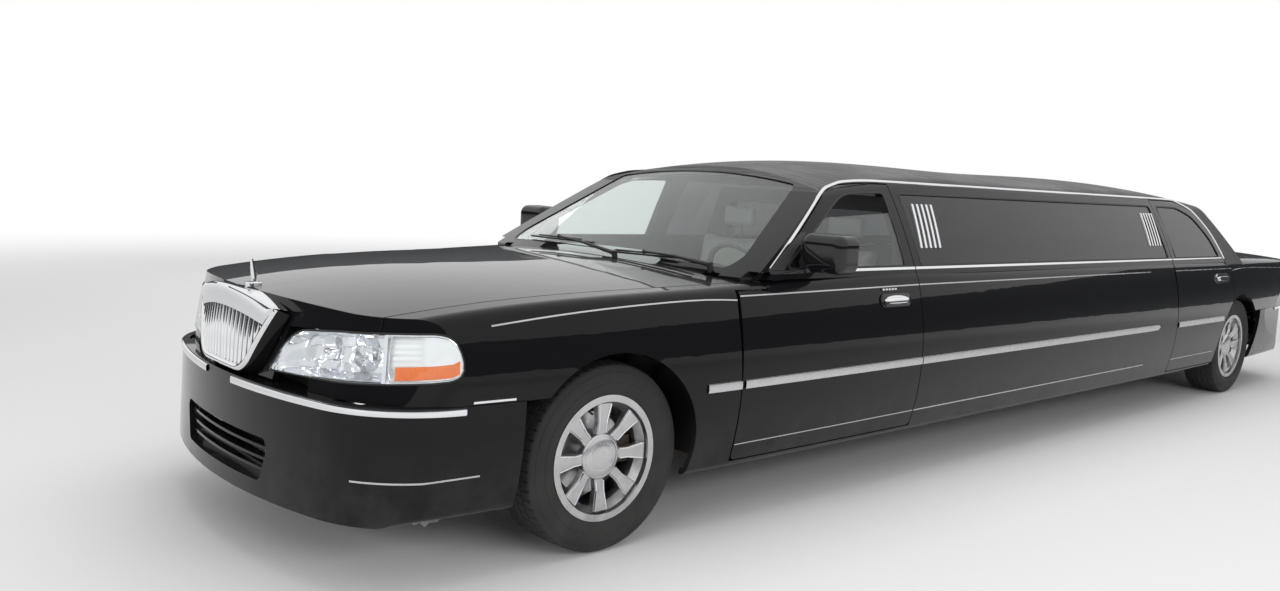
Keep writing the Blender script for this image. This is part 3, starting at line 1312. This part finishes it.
def lamp_spot(side, degrees, z, depth):
    """A point in the lamp, a depth behind the body's surface."""
    key = (round(degrees, 3), round(z, 5))
    if key not in NOSE_SPOTS:
        spot, heading = nose_spot(math.radians(degrees), z)
        tree = surface("headlamps", "fender_left", "hood")
        run = Vector((heading.x, heading.y, 0.0))
        outer = spot + run * 0.006
        hit = tree.find_nearest(outer)[0]
        reach = (hit - spot).dot(run)
        NOSE_SPOTS[key] = (spot + run * max(-0.030, min(0.006, reach)), run)
    spot, run = NOSE_SPOTS[key]
    spot = spot - run * depth
    return Vector((side * spot.x, spot.y, spot.z))


def soft_step(value):
    """0 to 1 with a soft start and end."""
    value = max(0.0, min(1.0, value))
    return value * value * (3 - 2 * value)


def lamp_grid(side, first, last, depth, inset=0.0):
    """A place function over part of the lamp; depth(degrees, share of height) sinks it."""
    def place(u, v):
        degrees = first + (last - first) * u
        low, high = read_line(LAMP_LOW_LINE, degrees) + inset, read_line(LAMP_HIGH_LINE, degrees) - inset
        v = low + max(0.0, high - low) * v
        share = (v - low) / max(1e-4, high - low)
        return lamp_spot(side, degrees, v, depth(degrees, share))
    return place


def lamp_outline(first, last, steps, inset):
    """A closed path round part of the lamp."""
    angles = [first + (last - first) * step / steps for step in range(steps + 1)]
    path = [(angle, read_line(LAMP_LOW_LINE, angle) + inset) for angle in angles]
    path += [(angle, read_line(LAMP_HIGH_LINE, angle) - inset) for angle in reversed(angles)]
    return path + path[:1]


def pocket(degrees, share):
    """How much of the full depth there is room for behind the lens."""
    across = soft_step((degrees - LAMP_POCKET[0]) / 4.0) * soft_step((LAMP_POCKET[1] - degrees) / 4.0)
    return across * soft_step(share / 0.14) * soft_step((1 - share) / 0.14)


class LIMOUSINE_OT_fit_headlamps(bpy.types.Operator):
    """Build the headlamps: faceted reflectors, bulbs, divider, amber strip and clear lens."""
    bl_idname = "limousine.fit_headlamps"
    bl_label = "Fit the headlamps"

    def execute(self, context):
        rng = random.Random(3)
        self.facets = [(rng.uniform(-0.012, 0.012), rng.uniform(-0.010, 0.010))
                       for _ in range(FACET_TILTS)]
        for side_name, side in SIDES:
            self.reflector(side_name, side)
            self.corner_lamp(side_name, side)
            self.bulbs(side_name, side)
            face = lamp_grid(side, LAMP_START, LAMP_END, lambda d, v: -0.0055 - 0.0025 * v * (1 - v))
            lens = sheet_piece("headlamp_lens_" + side_name, "lamp_lens", "chassis", 90, 14,
                               face, 0.0022)
            self.rim(side_name, side)
            if side > 0:
                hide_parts("headlamps")
        return {"FINISHED"}

    def rim(self, side_name, side):
        """The dark seal round the lens."""
        strip_piece("lamp_seal_" + side_name, "black_rubber", "chassis", "tyre_black",
                    lamp_outline(LAMP_START, LAMP_END, 60, 0.0), 0.007, 0.0062,
                    lambda d, z, lift: lamp_spot(side, d, z, -lift), closed=True, rounds=1)

    def reflector(self, side_name, side):
        """The faceted bed with its two bowls."""
        def depth(degrees, share):
            deep = LAMP_BED
            for bowl in LAMP_BOWLS:
                reach = math.hypot((degrees - bowl) * LAMP_DEGREE, (share - 0.5) * LAMP_HIGH)
                deep += LAMP_BOWL * max(0.0, 1 - (reach / LAMP_BOWL_REACH) ** 2)
            column, row = (degrees + FACET_START) / FACET_DEGREES, share * FACET_ROWS
            tilt_u, tilt_v = self.facets[(int(column) * FACET_ROWS + int(row)) % FACET_TILTS]
            deep += tilt_u * (column % 1 - 0.5) + tilt_v * (row % 1 - 0.5)
            return -0.0015 + pocket(degrees, share) * deep
        sheet_piece("lamp_reflector_" + side_name, "reflector", "chassis", 118, 36,
                    lamp_grid(side, LAMP_START + 0.8, LAMP_DIVIDER, depth, 0.003), 0.002, math.radians(22.0))

    def corner_lamp(self, side_name, side):
        """The turn signal: a pale bed, the amber strip low on it and its bright frame."""
        def bed(degrees, share):
            return -0.0012 + pocket(degrees, share) * (0.014 + 0.001 * math.sin(share * 50))

        def amber(u, v):
            degrees = LAMP_DIVIDER + AMBER_START + AMBER_DEGREES * u
            low = read_line(LAMP_LOW_LINE, degrees) + AMBER_GAP
            return lamp_spot(side, degrees, low + AMBER_HIGH * v, -0.0038 + 0.0006 * math.sin(u * 150))
        sheet_piece("corner_reflector_" + side_name, "pale_plastic", "chassis", 40, 40,
                    lamp_grid(side, LAMP_DIVIDER, LAMP_END - 0.3, bed, 0.003), 0.0012)
        sheet_piece("amber_strip_" + side_name, "amber_lens", "chassis", 60, 6, amber, 0.0012)
        bm = bmesh.new()
        first = LAMP_DIVIDER + 1.2
        add_strip(bm, lamp_outline(first, first + 27.0, 20, 0.008), 0.006, 0.0042,
                  lambda d, z, lift: lamp_spot(side, d, z, -lift), closed=True, rounds=1)
        add_sheet(bm, 2, 12, lamp_grid(side, LAMP_DIVIDER - 0.7, LAMP_DIVIDER + 0.7,
                                       lambda d, v: -0.003, 0.004), thickness=0.004)
        new_piece("lamp_divider_" + side_name, bm, "reflector", "chassis")

    def bulbs(self, side_name, side):
        """A shielded bulb in each bowl."""
        bm = bmesh.new()
        for degrees in LAMP_BOWLS:
            spot = lamp_spot(side, degrees, BULB_Z, BULB_DEPTH)
            add_rod(bm, spot, spot - Vector((0, 0.030, 0)), 0.008)
            add_ball(bm, spot - Vector((0, 0.032, 0)), 0.013)
        new_piece("bulb_shields_" + side_name, bm, "satin_silver", "chassis")


# The lid's bright bar, the plate with its bolts, and the reversing lenses as (x, z) corners and sizes
TAIL_BAR_HALF, TAIL_BAR_Z = 0.62, 0.868
PLATE_SIZE, PLATE_LOW_Z = (0.304, 0.152), 0.694
PLATE_BOLTS, PLATE_BOLT_Z = (-0.089, 0.089), 0.770
REVERSING_CORNER, REVERSING_SIZE = (0.716, 0.745), (0.14, 0.035)


def from_behind(*names):
    """A place function over (x, z) for the tail's face of the named pieces."""
    tree = surface(*names)

    def place(x, z, lift):
        return cast(tree, (x, CAD_BOX[1][1] + 0.5, z), (0, -1, 0), lift)
    return place


class LIMOUSINE_OT_fit_tail(bpy.types.Operator):
    """Fit the lid's bright bar, the blank plate with its bolts, and the reversing lenses."""
    bl_idname = "limousine.fit_tail"
    bl_label = "Fit the tail trim"

    def execute(self, context):
        on_lid, on_lamp = from_behind("trunk_lid"), from_behind("tail_lamps")
        bar = evenly([Vector((-TAIL_BAR_HALF, TAIL_BAR_Z)), Vector((TAIL_BAR_HALF, TAIL_BAR_Z))], 0.06)
        strip_piece("tail_bar", "bright_trim", "trunk_lid_panel", "bright_trim", bar, 0.022, 0.006, on_lid)

        def plate(u, v):
            return on_lid(PLATE_SIZE[0] * (u - 0.5), PLATE_LOW_Z + PLATE_SIZE[1] * v, 0.004)
        sheet_piece("blank_plate", "plate_white", "trunk_lid_panel", 16, 8, plate, 0.0015)
        bm = bmesh.new()
        for x in PLATE_BOLTS:
            spot = on_lid(x, PLATE_BOLT_Z, 0.003)
            add_rod(bm, spot, spot + Vector((0, 0.006, 0)), 0.006, segments=12)
        new_piece("plate_bolts", bm, "satin_silver", "trunk_lid_panel")
        for side_name, side in SIDES:
            def lens(u, v, side=side):
                return on_lamp(side * (REVERSING_CORNER[0] + REVERSING_SIZE[0] * u),
                               REVERSING_CORNER[1] + REVERSING_SIZE[1] * v, 0.0015)
            sheet_piece("reversing_lens_" + side_name, "pale_plastic", "chassis", 10, 4, lens,
                        0.002)
        return {"FINISHED"}


# Mirror glass: its middle, half its size and its roundness; sail: its foot's height and its slope
MIRROR_PLACE = (1.010, FRONT_AXLE_Y + 1.1215, 1.092)
MIRROR_HALF = (0.098, 0.064)
MIRROR_ROUNDING = 0.28
SAIL_LOW_Z, SAIL_SLOPE = 1.016, 1.78
KEYPAD_PLACE = (FRONT_AXLE_Y + 1.600, 0.9195)
KEYPAD_HALF = 0.062
KEYPAD_KEYS, KEYPAD_PITCH = 5, 0.023


class LIMOUSINE_OT_fit_door_furniture(bpy.types.Operator):
    """Fit the mirror glasses, their sails and the keypad."""
    bl_idname = "limousine.fit_door_furniture"
    bl_label = "Fit the door furniture"

    def execute(self, context):
        for side_name, side in SIDES:
            body = "front_door_" + side_name

            def mirror(u, v, side=side):
                a, b = 2 * u - 1, 2 * v - 1
                x = MIRROR_PLACE[0] + MIRROR_HALF[0] * a * math.sqrt(1 - MIRROR_ROUNDING * b * b)
                z = MIRROR_PLACE[2] + MIRROR_HALF[1] * b * math.sqrt(1 - MIRROR_ROUNDING * a * a)
                return Vector((side * x, MIRROR_PLACE[1], z))

            def sail(u, v, side=side):
                z = SAIL_LOW_Z + 0.150 * v
                first = pillar_y(BELT_POINT[1]) + 0.055 + (z - SAIL_LOW_Z) * SAIL_SLOPE
                return house_point(first + (0.100 - 0.062 * v) * u, z, side, 0.004)
            sheet_piece("mirror_glass_" + side_name, "reflector", body, 16, 10, mirror, 0.0015)
            sheet_piece("mirror_sail_" + side_name, "black_plastic", body, 6, 8, sail, 0.003)
        self.keypad()
        return {"FINISHED"}

    def keypad(self):
        """Plain buttons in a row above the left handle."""
        place = side_place(1, "door_front_left")
        centre_y, level = KEYPAD_PLACE
        bed = evenly([Vector((centre_y - KEYPAD_HALF, level)), Vector((centre_y + KEYPAD_HALF, level))], 0.02)
        strip_piece("keypad", "black_plastic", "front_door_left", "cabin_plastic", bed, 0.017, 0.0025, place)
        bm = bmesh.new()
        for index in range(KEYPAD_KEYS):
            y = centre_y + KEYPAD_PITCH * (index - (KEYPAD_KEYS - 1) / 2)
            spot = place(y, level, 0.0)
            add_block(bm, spot - Vector((0.003, 0.008, 0.0045)), spot + Vector((0.0042, 0.008, 0.0045)),
                      0.0018)
        new_piece("keypad_buttons", bm, "pale_plastic", "front_door_left")


# First and last x and the height of each blade, and the x of its pivot
WIPERS = ((-0.60, -0.06, 1.032, 0.17), (0.06, 0.58, 1.016, 0.70))
WIPER_STEPS = 12


class LIMOUSINE_OT_fit_wipers(bpy.types.Operator):
    """Lay the two wipers along the foot of the windscreen."""
    bl_idname = "limousine.fit_wipers"
    bl_label = "Fit the wipers"

    def execute(self, context):
        for number, (first_x, last_x, level, pivot_x) in enumerate(WIPERS):
            bm = bmesh.new()
            spots = []
            for step in range(WIPER_STEPS + 1):
                share = step / WIPER_STEPS
                spots.append(screen_point(first_x + (last_x - first_x) * share, level + 0.010 * share, 0.008))
            add_chain(bm, spots, 0.0045)
            add_chain(bm, [spot + Vector((0, -0.004, 0.010)) for spot in spots[2:-2]], 0.004)
            middle = spots[WIPER_STEPS // 2] + Vector((0, -0.006, 0.014))
            pivot = screen_point(pivot_x, 1.004, 0.020)
            elbow = middle.lerp(pivot, 0.45) + Vector((0, -0.006, 0.008))
            add_rod(bm, middle, elbow, 0.0055)
            add_rod(bm, elbow, pivot, 0.0065, 0.010)
            add_ball(bm, middle, 0.010)
            add_rod(bm, pivot + Vector((0, 0.004, -0.030)), pivot + Vector((0, -0.004, 0.012)), 0.013)
            new_piece("wiper_%d" % number, bm, "black_plastic", "chassis")
        return {"FINISHED"}


# Soft seats: how hard and how long the cloth is blown up, and the most that it may move
PUFF_PRESSURE = 3.0
PUFF_FRAMES = 14
PUFF_CAP = 0.006
PUFF_VOXEL = 0.012


def cushion_mesh(low, high, bevel, channels, channel_axis, top_axis, crown, facing):
    """A crowned pad that fills its box, with sewn channels across the side that faces the sitter."""
    low, high = Vector(low), Vector(high)
    size = high - low
    bm = bmesh.new()
    add_block(bm, low, high, bevel, 3)
    longest = max(size)
    for shortest, cuts in ((longest * 0.3, min(max(2, int(longest / 0.035)), 24)), (0.09, 2)):
        long_edges = [edge for edge in bm.edges if edge.calc_length() > shortest]
        bmesh.ops.subdivide_edges(bm, edges=long_edges, cuts=cuts, use_grid_fill=True)
    centre = (low + high) / 2
    for vert in bm.verts:
        place = [(vert.co[i] - centre[i]) / (size[i] / 2) for i in range(3)]
        flat = [place[i] for i in range(3) if i != top_axis]
        rise = (1 - flat[0] ** 2) * (1 - flat[1] ** 2)
        if place[top_axis] * facing > 0.2:
            groove = math.cos(place[channel_axis] * math.pi * channels)
            sink = crown * (1 - rise) + 0.010 * max(0.0, groove) ** 6 * (1 - flat[0] ** 8)
            vert.co[top_axis] -= facing * sink
        for i in range(3):
            if i != top_axis:
                other = place[[j for j in range(3) if j not in (i, top_axis)][0]]
                vert.co[i] -= 0.012 * place[i] * (1 - other ** 2) * abs(place[i]) ** 3
    return bm


def soften(piece):
    """Puff a pad up a little as cloth and keep the result, with no point moved past PUFF_CAP."""
    remesh = piece.modifiers.new("Even", "REMESH")
    remesh.mode = "VOXEL"
    remesh.voxel_size = PUFF_VOXEL
    bpy.context.view_layer.objects.active = piece
    with bpy.context.temp_override(object=piece, active_object=piece, selected_objects=[piece]):
        bpy.ops.object.modifier_apply(modifier="Even")
    start = [vert.co.copy() for vert in piece.data.vertices]
    cloth = piece.modifiers.new("Puff", "CLOTH")
    cloth.settings.use_pressure = True
    cloth.settings.uniform_pressure_force = PUFF_PRESSURE
    cloth.settings.effector_weights.gravity = 0.0
    cloth.settings.quality = 3
    cloth.settings.tension_stiffness = 15.0
    scene = bpy.context.scene
    for number in range(1, PUFF_FRAMES + 1):
        scene.frame_set(number)
    seen = piece.evaluated_get(bpy.context.evaluated_depsgraph_get())
    moved = [vert.co.copy() for vert in seen.data.vertices]
    piece.modifiers.remove(cloth)
    scene.frame_set(1)
    for vert, before, after in zip(piece.data.vertices, start, moved):
        step = after - before
        if step.length > PUFF_CAP:
            step = step.normalized() * PUFF_CAP
        vert.co = before + step
    piece.data.shade_smooth()


def add_pad(name, low, high, top_axis, channel_axis, channels=2, crown=0.02, finish="leather", bevel=0.03,
            facing=1, turn=None, puff=False):
    """One padded piece, declared as such."""
    bm = cushion_mesh(low, high, bevel, channels, channel_axis, top_axis, crown, facing)
    if turn is not None:
        bmesh.ops.transform(bm, matrix=turn, verts=bm.verts)
    pad = new_piece(name, bm, finish, "chassis", math.radians(60.0))
    if puff:
        soften(pad)
    return pad


def tilt_about(point, angle):
    """A turn about the X direction through a point."""
    return Matrix.Translation(point) @ Matrix.Rotation(angle, 4, "X") @ Matrix.Translation(-Vector(point))


FRONT_SEAT_Y = FRONT_AXLE_Y + 1.400
FRONT_SEAT_X = (0.130, 0.615)
BACK_LEAN = math.radians(-11.0)
FLOOR_Z = 0.302


class LIMOUSINE_OT_furnish_front(bpy.types.Operator):
    """Upholster the two front seats over their frames."""
    bl_idname = "limousine.furnish_front"
    bl_label = "Furnish the front"

    def execute(self, context):
        y = FRONT_SEAT_Y
        for side_name, side in SIDES:
            near, far = sorted(side * x for x in FRONT_SEAT_X)
            # Name, low and high corner, thickness axis, channels and turn
            pads = (
                ("seat_cushion_", (near, y + 0.012, 0.402), (far, y + 0.468, 0.545), 2, 3, None),
                ("seat_back_", (near + 0.02, y + 0.425, 0.56), (far - 0.02, y + 0.535, 1.075), 1, 3,
                 tilt_about((0, y + 0.46, 0.56), BACK_LEAN)),
                ("head_rest_", (near + 0.125, y + 0.565, 1.105), (far - 0.125, y + 0.640, 1.230), 1, 0, None),
            )
            for name, low, high, top, channels, turn in pads:
                pad = add_pad(name + side_name, low, high, top, 0, channels, 0.016,
                              facing=1 if top == 2 else -1, turn=turn, puff=True)
                if pad.name == "seat_cushion_left":
                    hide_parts("front_seats")
            bm = bmesh.new()
            add_block(bm, (near + 0.02, y + 0.03, FLOOR_Z + 0.001), (far - 0.02, y + 0.43, 0.400), 0.012)
            for x in (0.338, 0.408):
                add_rod(bm, (side * x, y + 0.600, 1.05), (side * x, y + 0.605, 1.14), 0.006)
            new_piece("seat_base_" + side_name, bm, "cabin_plastic", "chassis")
        return {"FINISHED"}


LOUNGE_Y = FRONT_AXLE_Y + 2.600
LOUNGE_END_Y = REAR_DOOR[0].y - 0.140
LOUNGE_PADS = 5
DIAL_PLACES = (0.30, 0.44)
VENT_PLACES = (-0.62, -0.12, 0.08, 0.66)
LINING_HALF = 0.60
BENCH_Y = REAR_AXLE_Y - 0.140
BENCH_PAD = 0.674


class LIMOUSINE_OT_furnish_lounge(bpy.types.Operator):
    """Upholster the side bench and the rear bench in the long compartment."""
    bl_idname = "limousine.furnish_lounge"
    bl_label = "Furnish the lounge"

    def execute(self, context):
        pitch = (LOUNGE_END_Y - LOUNGE_Y) / LOUNGE_PADS
        bm = bmesh.new()
        add_block(bm, (-0.785, LOUNGE_Y, FLOOR_Z + 0.001), (-0.335, LOUNGE_END_Y, 0.560), 0.015)
        base = new_piece("lounge_base", bm, "dark_leather", "chassis")
        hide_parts("limo_seats")
        for index in range(LOUNGE_PADS):
            first = LOUNGE_Y + pitch * index + 0.004
            last = first + pitch - 0.008
            add_pad("lounge_cushion_%d" % index, (-0.780, first, 0.562), (-0.305, last, 0.685), 2, 1, 2,
                    0.018, "dark_leather")
            add_pad("lounge_back_%d" % index, (-0.784, first, 0.690), (-0.672, last, 0.985), 0, 1, 2, 0.016,
                    "dark_leather", 0.025)
        for index in range(2):
            first = -0.676 + (BENCH_PAD + 0.004) * index
            last = first + BENCH_PAD
            add_pad("bench_cushion_%d" % index, (first, BENCH_Y - 0.570, 0.534),
                    (last, BENCH_Y - 0.150, 0.716), 2, 0, 2, 0.018, "dark_leather")
            add_pad("bench_back_%d" % index, (first, BENCH_Y - 0.145, 0.700),
                    (last, BENCH_Y - 0.004, 0.984), 1, 0, 2, 0.016, "dark_leather", 0.03, -1)
        return {"FINISHED"}


class LIMOUSINE_OT_line_cabin(bpy.types.Operator):
    """Line the roof inside and dress the dash and the bar."""
    bl_idname = "limousine.line_cabin"
    bl_label = "Line the cabin"

    def execute(self, context):
        roof = surface("roof")
        first, last = FRONT_AXLE_Y + 1.36, REAR_AXLE_Y - 0.60

        def lining(u, v):
            x, y = LINING_HALF * (2 * v - 1), first + (last - first) * u
            return cast(roof, (x, y, 1.15), (0, 0, 1), 0.004)
        sheet_piece("roof_lining", "headliner", "chassis", 60, 14, lining, 0.002)
        bm = bmesh.new()
        y = FRONT_AXLE_Y + 0.980
        for x in DIAL_PLACES:
            add_rod(bm, (x, y - 0.040, 0.875), (x, y - 0.003, 0.868), 0.052, segments=32)
        for x in VENT_PLACES:
            add_block(bm, (x - 0.05, y - 0.030, 0.800), (x + 0.05, y - 0.008, 0.845), 0.006)
        new_piece("dash_dials", bm, "black_plastic", "chassis")
        bm = bmesh.new()
        add_block(bm, (0.428, LOUNGE_Y + 0.02, 0.902), (0.782, LOUNGE_Y + 1.88, 0.912), 0.004)
        new_piece("bar_top", bm, "satin_silver", "chassis")
        return {"FINISHED"}


FLOOR_RADIUS = 60.0
# Distances from the middle between which the floor turns white
FLOOR_FADE = (6.0, 15.0)
WALL_RADIUS = 24.0
# Name, place, target, size and power of each light
LIGHTS = (
    ("overhead", (0.0, 0.0, 6.5), (0.0, 0.0, 0.5), (5.0, 10.0), 260.0),
    ("left_bank", (7.5, -3.0, 3.4), (0.5, -1.5, 0.6), (7.0, 1.6), 200.0),
    ("front_bank", (2.5, -11.0, 3.2), (0.0, -3.5, 0.6), (4.0, 1.6), 180.0),
    ("right_bank", (-8.0, 1.0, 4.0), (0.0, 0.0, 0.6), (6.0, 2.0), 100.0),
)
CAMERA_PLACE = (3.693, FRONT_AXLE_Y - 2.396, 1.372)
PICTURE_WIDE = 1280.0


class LIMOUSINE_OT_set_stage(bpy.types.Operator):
    """Set the floor, the soft light and the camera at the picture's angle."""
    bl_idname = "limousine.set_stage"
    bl_label = "Set the stage"

    def execute(self, context):
        stage = context.scene.limousine_stage
        self.floor()
        self.far_wall()
        self.world(stage.world_strength)
        self.lamps()
        self.camera(stage)
        context.scene.view_settings.view_transform = "Standard"
        return {"FINISHED"}

    def floor(self):
        """A pale matt floor that turns into the white background far from the car."""
        tree, shader = start_finish("pale_floor", (0.74, 0.74, 0.74), 0.75)
        away = wire(tree, "ShaderNodeVectorMath", {"operation": "LENGTH"}, {0: own_place(tree)})
        far = wire(tree, "ShaderNodeMapRange", {"clamp": True, "interpolation_type": "SMOOTHSTEP"},
                   {"Value": away.outputs["Value"], "From Min": FLOOR_FADE[0], "From Max": FLOOR_FADE[1]})
        white = wire(tree, "ShaderNodeEmission", None, {"Color": (1.0, 1.0, 1.0, 1.0), "Strength": 1.0})
        mix = wire(tree, "ShaderNodeMixShader", None,
                   {0: far.outputs["Result"], 1: shader.outputs["BSDF"], 2: white.outputs["Emission"]})
        tree.links.new(mix.outputs["Shader"], tree.nodes["Material Output"].inputs["Surface"])
        bm = bmesh.new()
        bmesh.ops.create_circle(bm, cap_ends=True, segments=96, radius=FLOOR_RADIUS,
                                matrix=Matrix.Translation((0, 0, -0.0005)))
        new_object("floor", bm, "pale_floor")

    def world(self, strength):
        """White where it is seen, mirrored or seen through; the light's own strength otherwise."""
        world = bpy.data.worlds.new("soft_sky")
        bpy.context.scene.world = world
        world.use_nodes = True
        tree = world.node_tree
        rays = wire(tree, "ShaderNodeLightPath")
        seen = wire(tree, "ShaderNodeMath", {"operation": "MAXIMUM"},
                    {0: rays.outputs["Is Camera Ray"], 1: rays.outputs["Is Transmission Ray"]})
        shown = wire(tree, "ShaderNodeMath", {"operation": "MAXIMUM"},
                     {0: seen.outputs["Value"], 1: rays.outputs["Is Glossy Ray"]})
        level = wire(tree, "ShaderNodeMapRange", None,
                     {"Value": shown.outputs["Value"], "To Min": strength, "To Max": 1.0})
        back = tree.nodes["Background"]
        back.inputs["Color"].default_value = (1.0, 1.0, 1.0, 1.0)
        tree.links.new(level.outputs["Result"], back.inputs["Strength"])

    def far_wall(self):
        """A dark band round the horizon that only mirrored rays see, so that bright metal has contrast."""
        tree, _ = start_finish("far_wall", (0.05, 0.05, 0.05), 1.0)
        glow = wire(tree, "ShaderNodeEmission", None, {"Color": (0.05, 0.055, 0.06, 1.0), "Strength": 1.0})
        tree.links.new(glow.outputs["Emission"], tree.nodes["Material Output"].inputs["Surface"])

        def ring(u, v):
            turn = 2 * math.pi * u
            return Vector((WALL_RADIUS * math.cos(turn), WALL_RADIUS * math.sin(turn), 0.2 + 4.6 * v))
        bm = bmesh.new()
        add_sheet(bm, 64, 1, ring)
        wall = new_object("far_wall", bm, "far_wall")
        for kind in ("camera", "diffuse", "shadow", "transmission"):
            setattr(wall, "visible_" + kind, False)

    def lamps(self):
        """Soft lights over the car and round it."""
        for name, place, target, size, power in LIGHTS:
            light = bpy.data.lights.new(name, "AREA")
            light.shape = "RECTANGLE"
            light.size, light.size_y = size
            light.energy = power
            lamp = bpy.data.objects.new(name, light)
            lamp.location = place
            lamp.visible_glossy = False
            lamp.rotation_euler = (Vector(target) - Vector(place)).to_track_quat("-Z", "Y").to_euler()
            bpy.context.scene.collection.objects.link(lamp)

    def camera(self, stage):
        """A camera that looks along yaw and pitch and is rolled about its own direction."""
        camera = bpy.data.cameras.new("camera")
        camera.sensor_width = 36.0
        camera.lens = stage.focal_pixels / PICTURE_WIDE * camera.sensor_width
        camera.clip_end = 200.0
        holder = bpy.data.objects.new("camera", camera)
        ahead = Vector((math.cos(stage.pitch) * math.cos(stage.yaw),
                        math.cos(stage.pitch) * math.sin(stage.yaw), math.sin(stage.pitch)))
        right = ahead.cross(Vector((0, 0, 1))).normalized()
        upward = right.cross(ahead)
        turn_cos, turn_sin = math.cos(stage.roll), math.sin(stage.roll)
        right, upward = (right * turn_cos + upward * turn_sin, upward * turn_cos - right * turn_sin)
        matrix = Matrix((right, upward, -ahead)).transposed().to_4x4()
        matrix.translation = Vector(CAMERA_PLACE)
        holder.matrix_world = matrix
        bpy.context.scene.collection.objects.link(holder)
        bpy.context.scene.camera = holder


OPERATORS = (
    LIMOUSINE_OT_finish_panels, LIMOUSINE_OT_dress_grille, LIMOUSINE_OT_fit_tyres, LIMOUSINE_OT_trim_wheels,
    LIMOUSINE_OT_lay_side_trim, LIMOUSINE_OT_trim_windows, LIMOUSINE_OT_trim_bumpers,
    LIMOUSINE_OT_fit_headlamps, LIMOUSINE_OT_fit_tail, LIMOUSINE_OT_fit_door_furniture,
    LIMOUSINE_OT_fit_wipers, LIMOUSINE_OT_furnish_front, LIMOUSINE_OT_furnish_lounge,
    LIMOUSINE_OT_line_cabin, LIMOUSINE_OT_set_stage,
)


class LIMOUSINE_PT_panel(bpy.types.Panel):
    """The limousine's steps and sizes."""
    bl_idname = "LIMOUSINE_PT_panel"
    bl_label = "Limousine"
    bl_space_type = "VIEW_3D"
    bl_region_type = "UI"
    bl_category = "Limousine"

    def draw(self, context):
        for group in (context.scene.limousine_sizes, context.scene.limousine_colours,
                      context.scene.limousine_stage):
            for name in group.bl_rna.properties.keys():
                if name not in ("rna_type", "name"):
                    self.layout.prop(group, name)
        for operator in OPERATORS:
            self.layout.operator(operator.bl_idname)


CLASSES = (LimousineSizes, LimousineColours, LimousineStage, *OPERATORS, LIMOUSINE_PT_panel)


def register():
    for item in CLASSES:
        bpy.utils.register_class(item)
    bpy.types.Scene.limousine_sizes = PointerProperty(type=LimousineSizes)
    bpy.types.Scene.limousine_colours = PointerProperty(type=LimousineColours)
    bpy.types.Scene.limousine_stage = PointerProperty(type=LimousineStage)


def unregister():
    del bpy.types.Scene.limousine_stage
    del bpy.types.Scene.limousine_colours
    del bpy.types.Scene.limousine_sizes
    for item in reversed(CLASSES):
        bpy.utils.unregister_class(item)


def main():
    """Register the add-on, run its operators in order and note the size."""
    register()
    for operator in OPERATORS:
        step = getattr(bpy.ops.limousine, operator.bl_idname.split(".")[1])
        step()


if __name__ == "__main__":
    main()
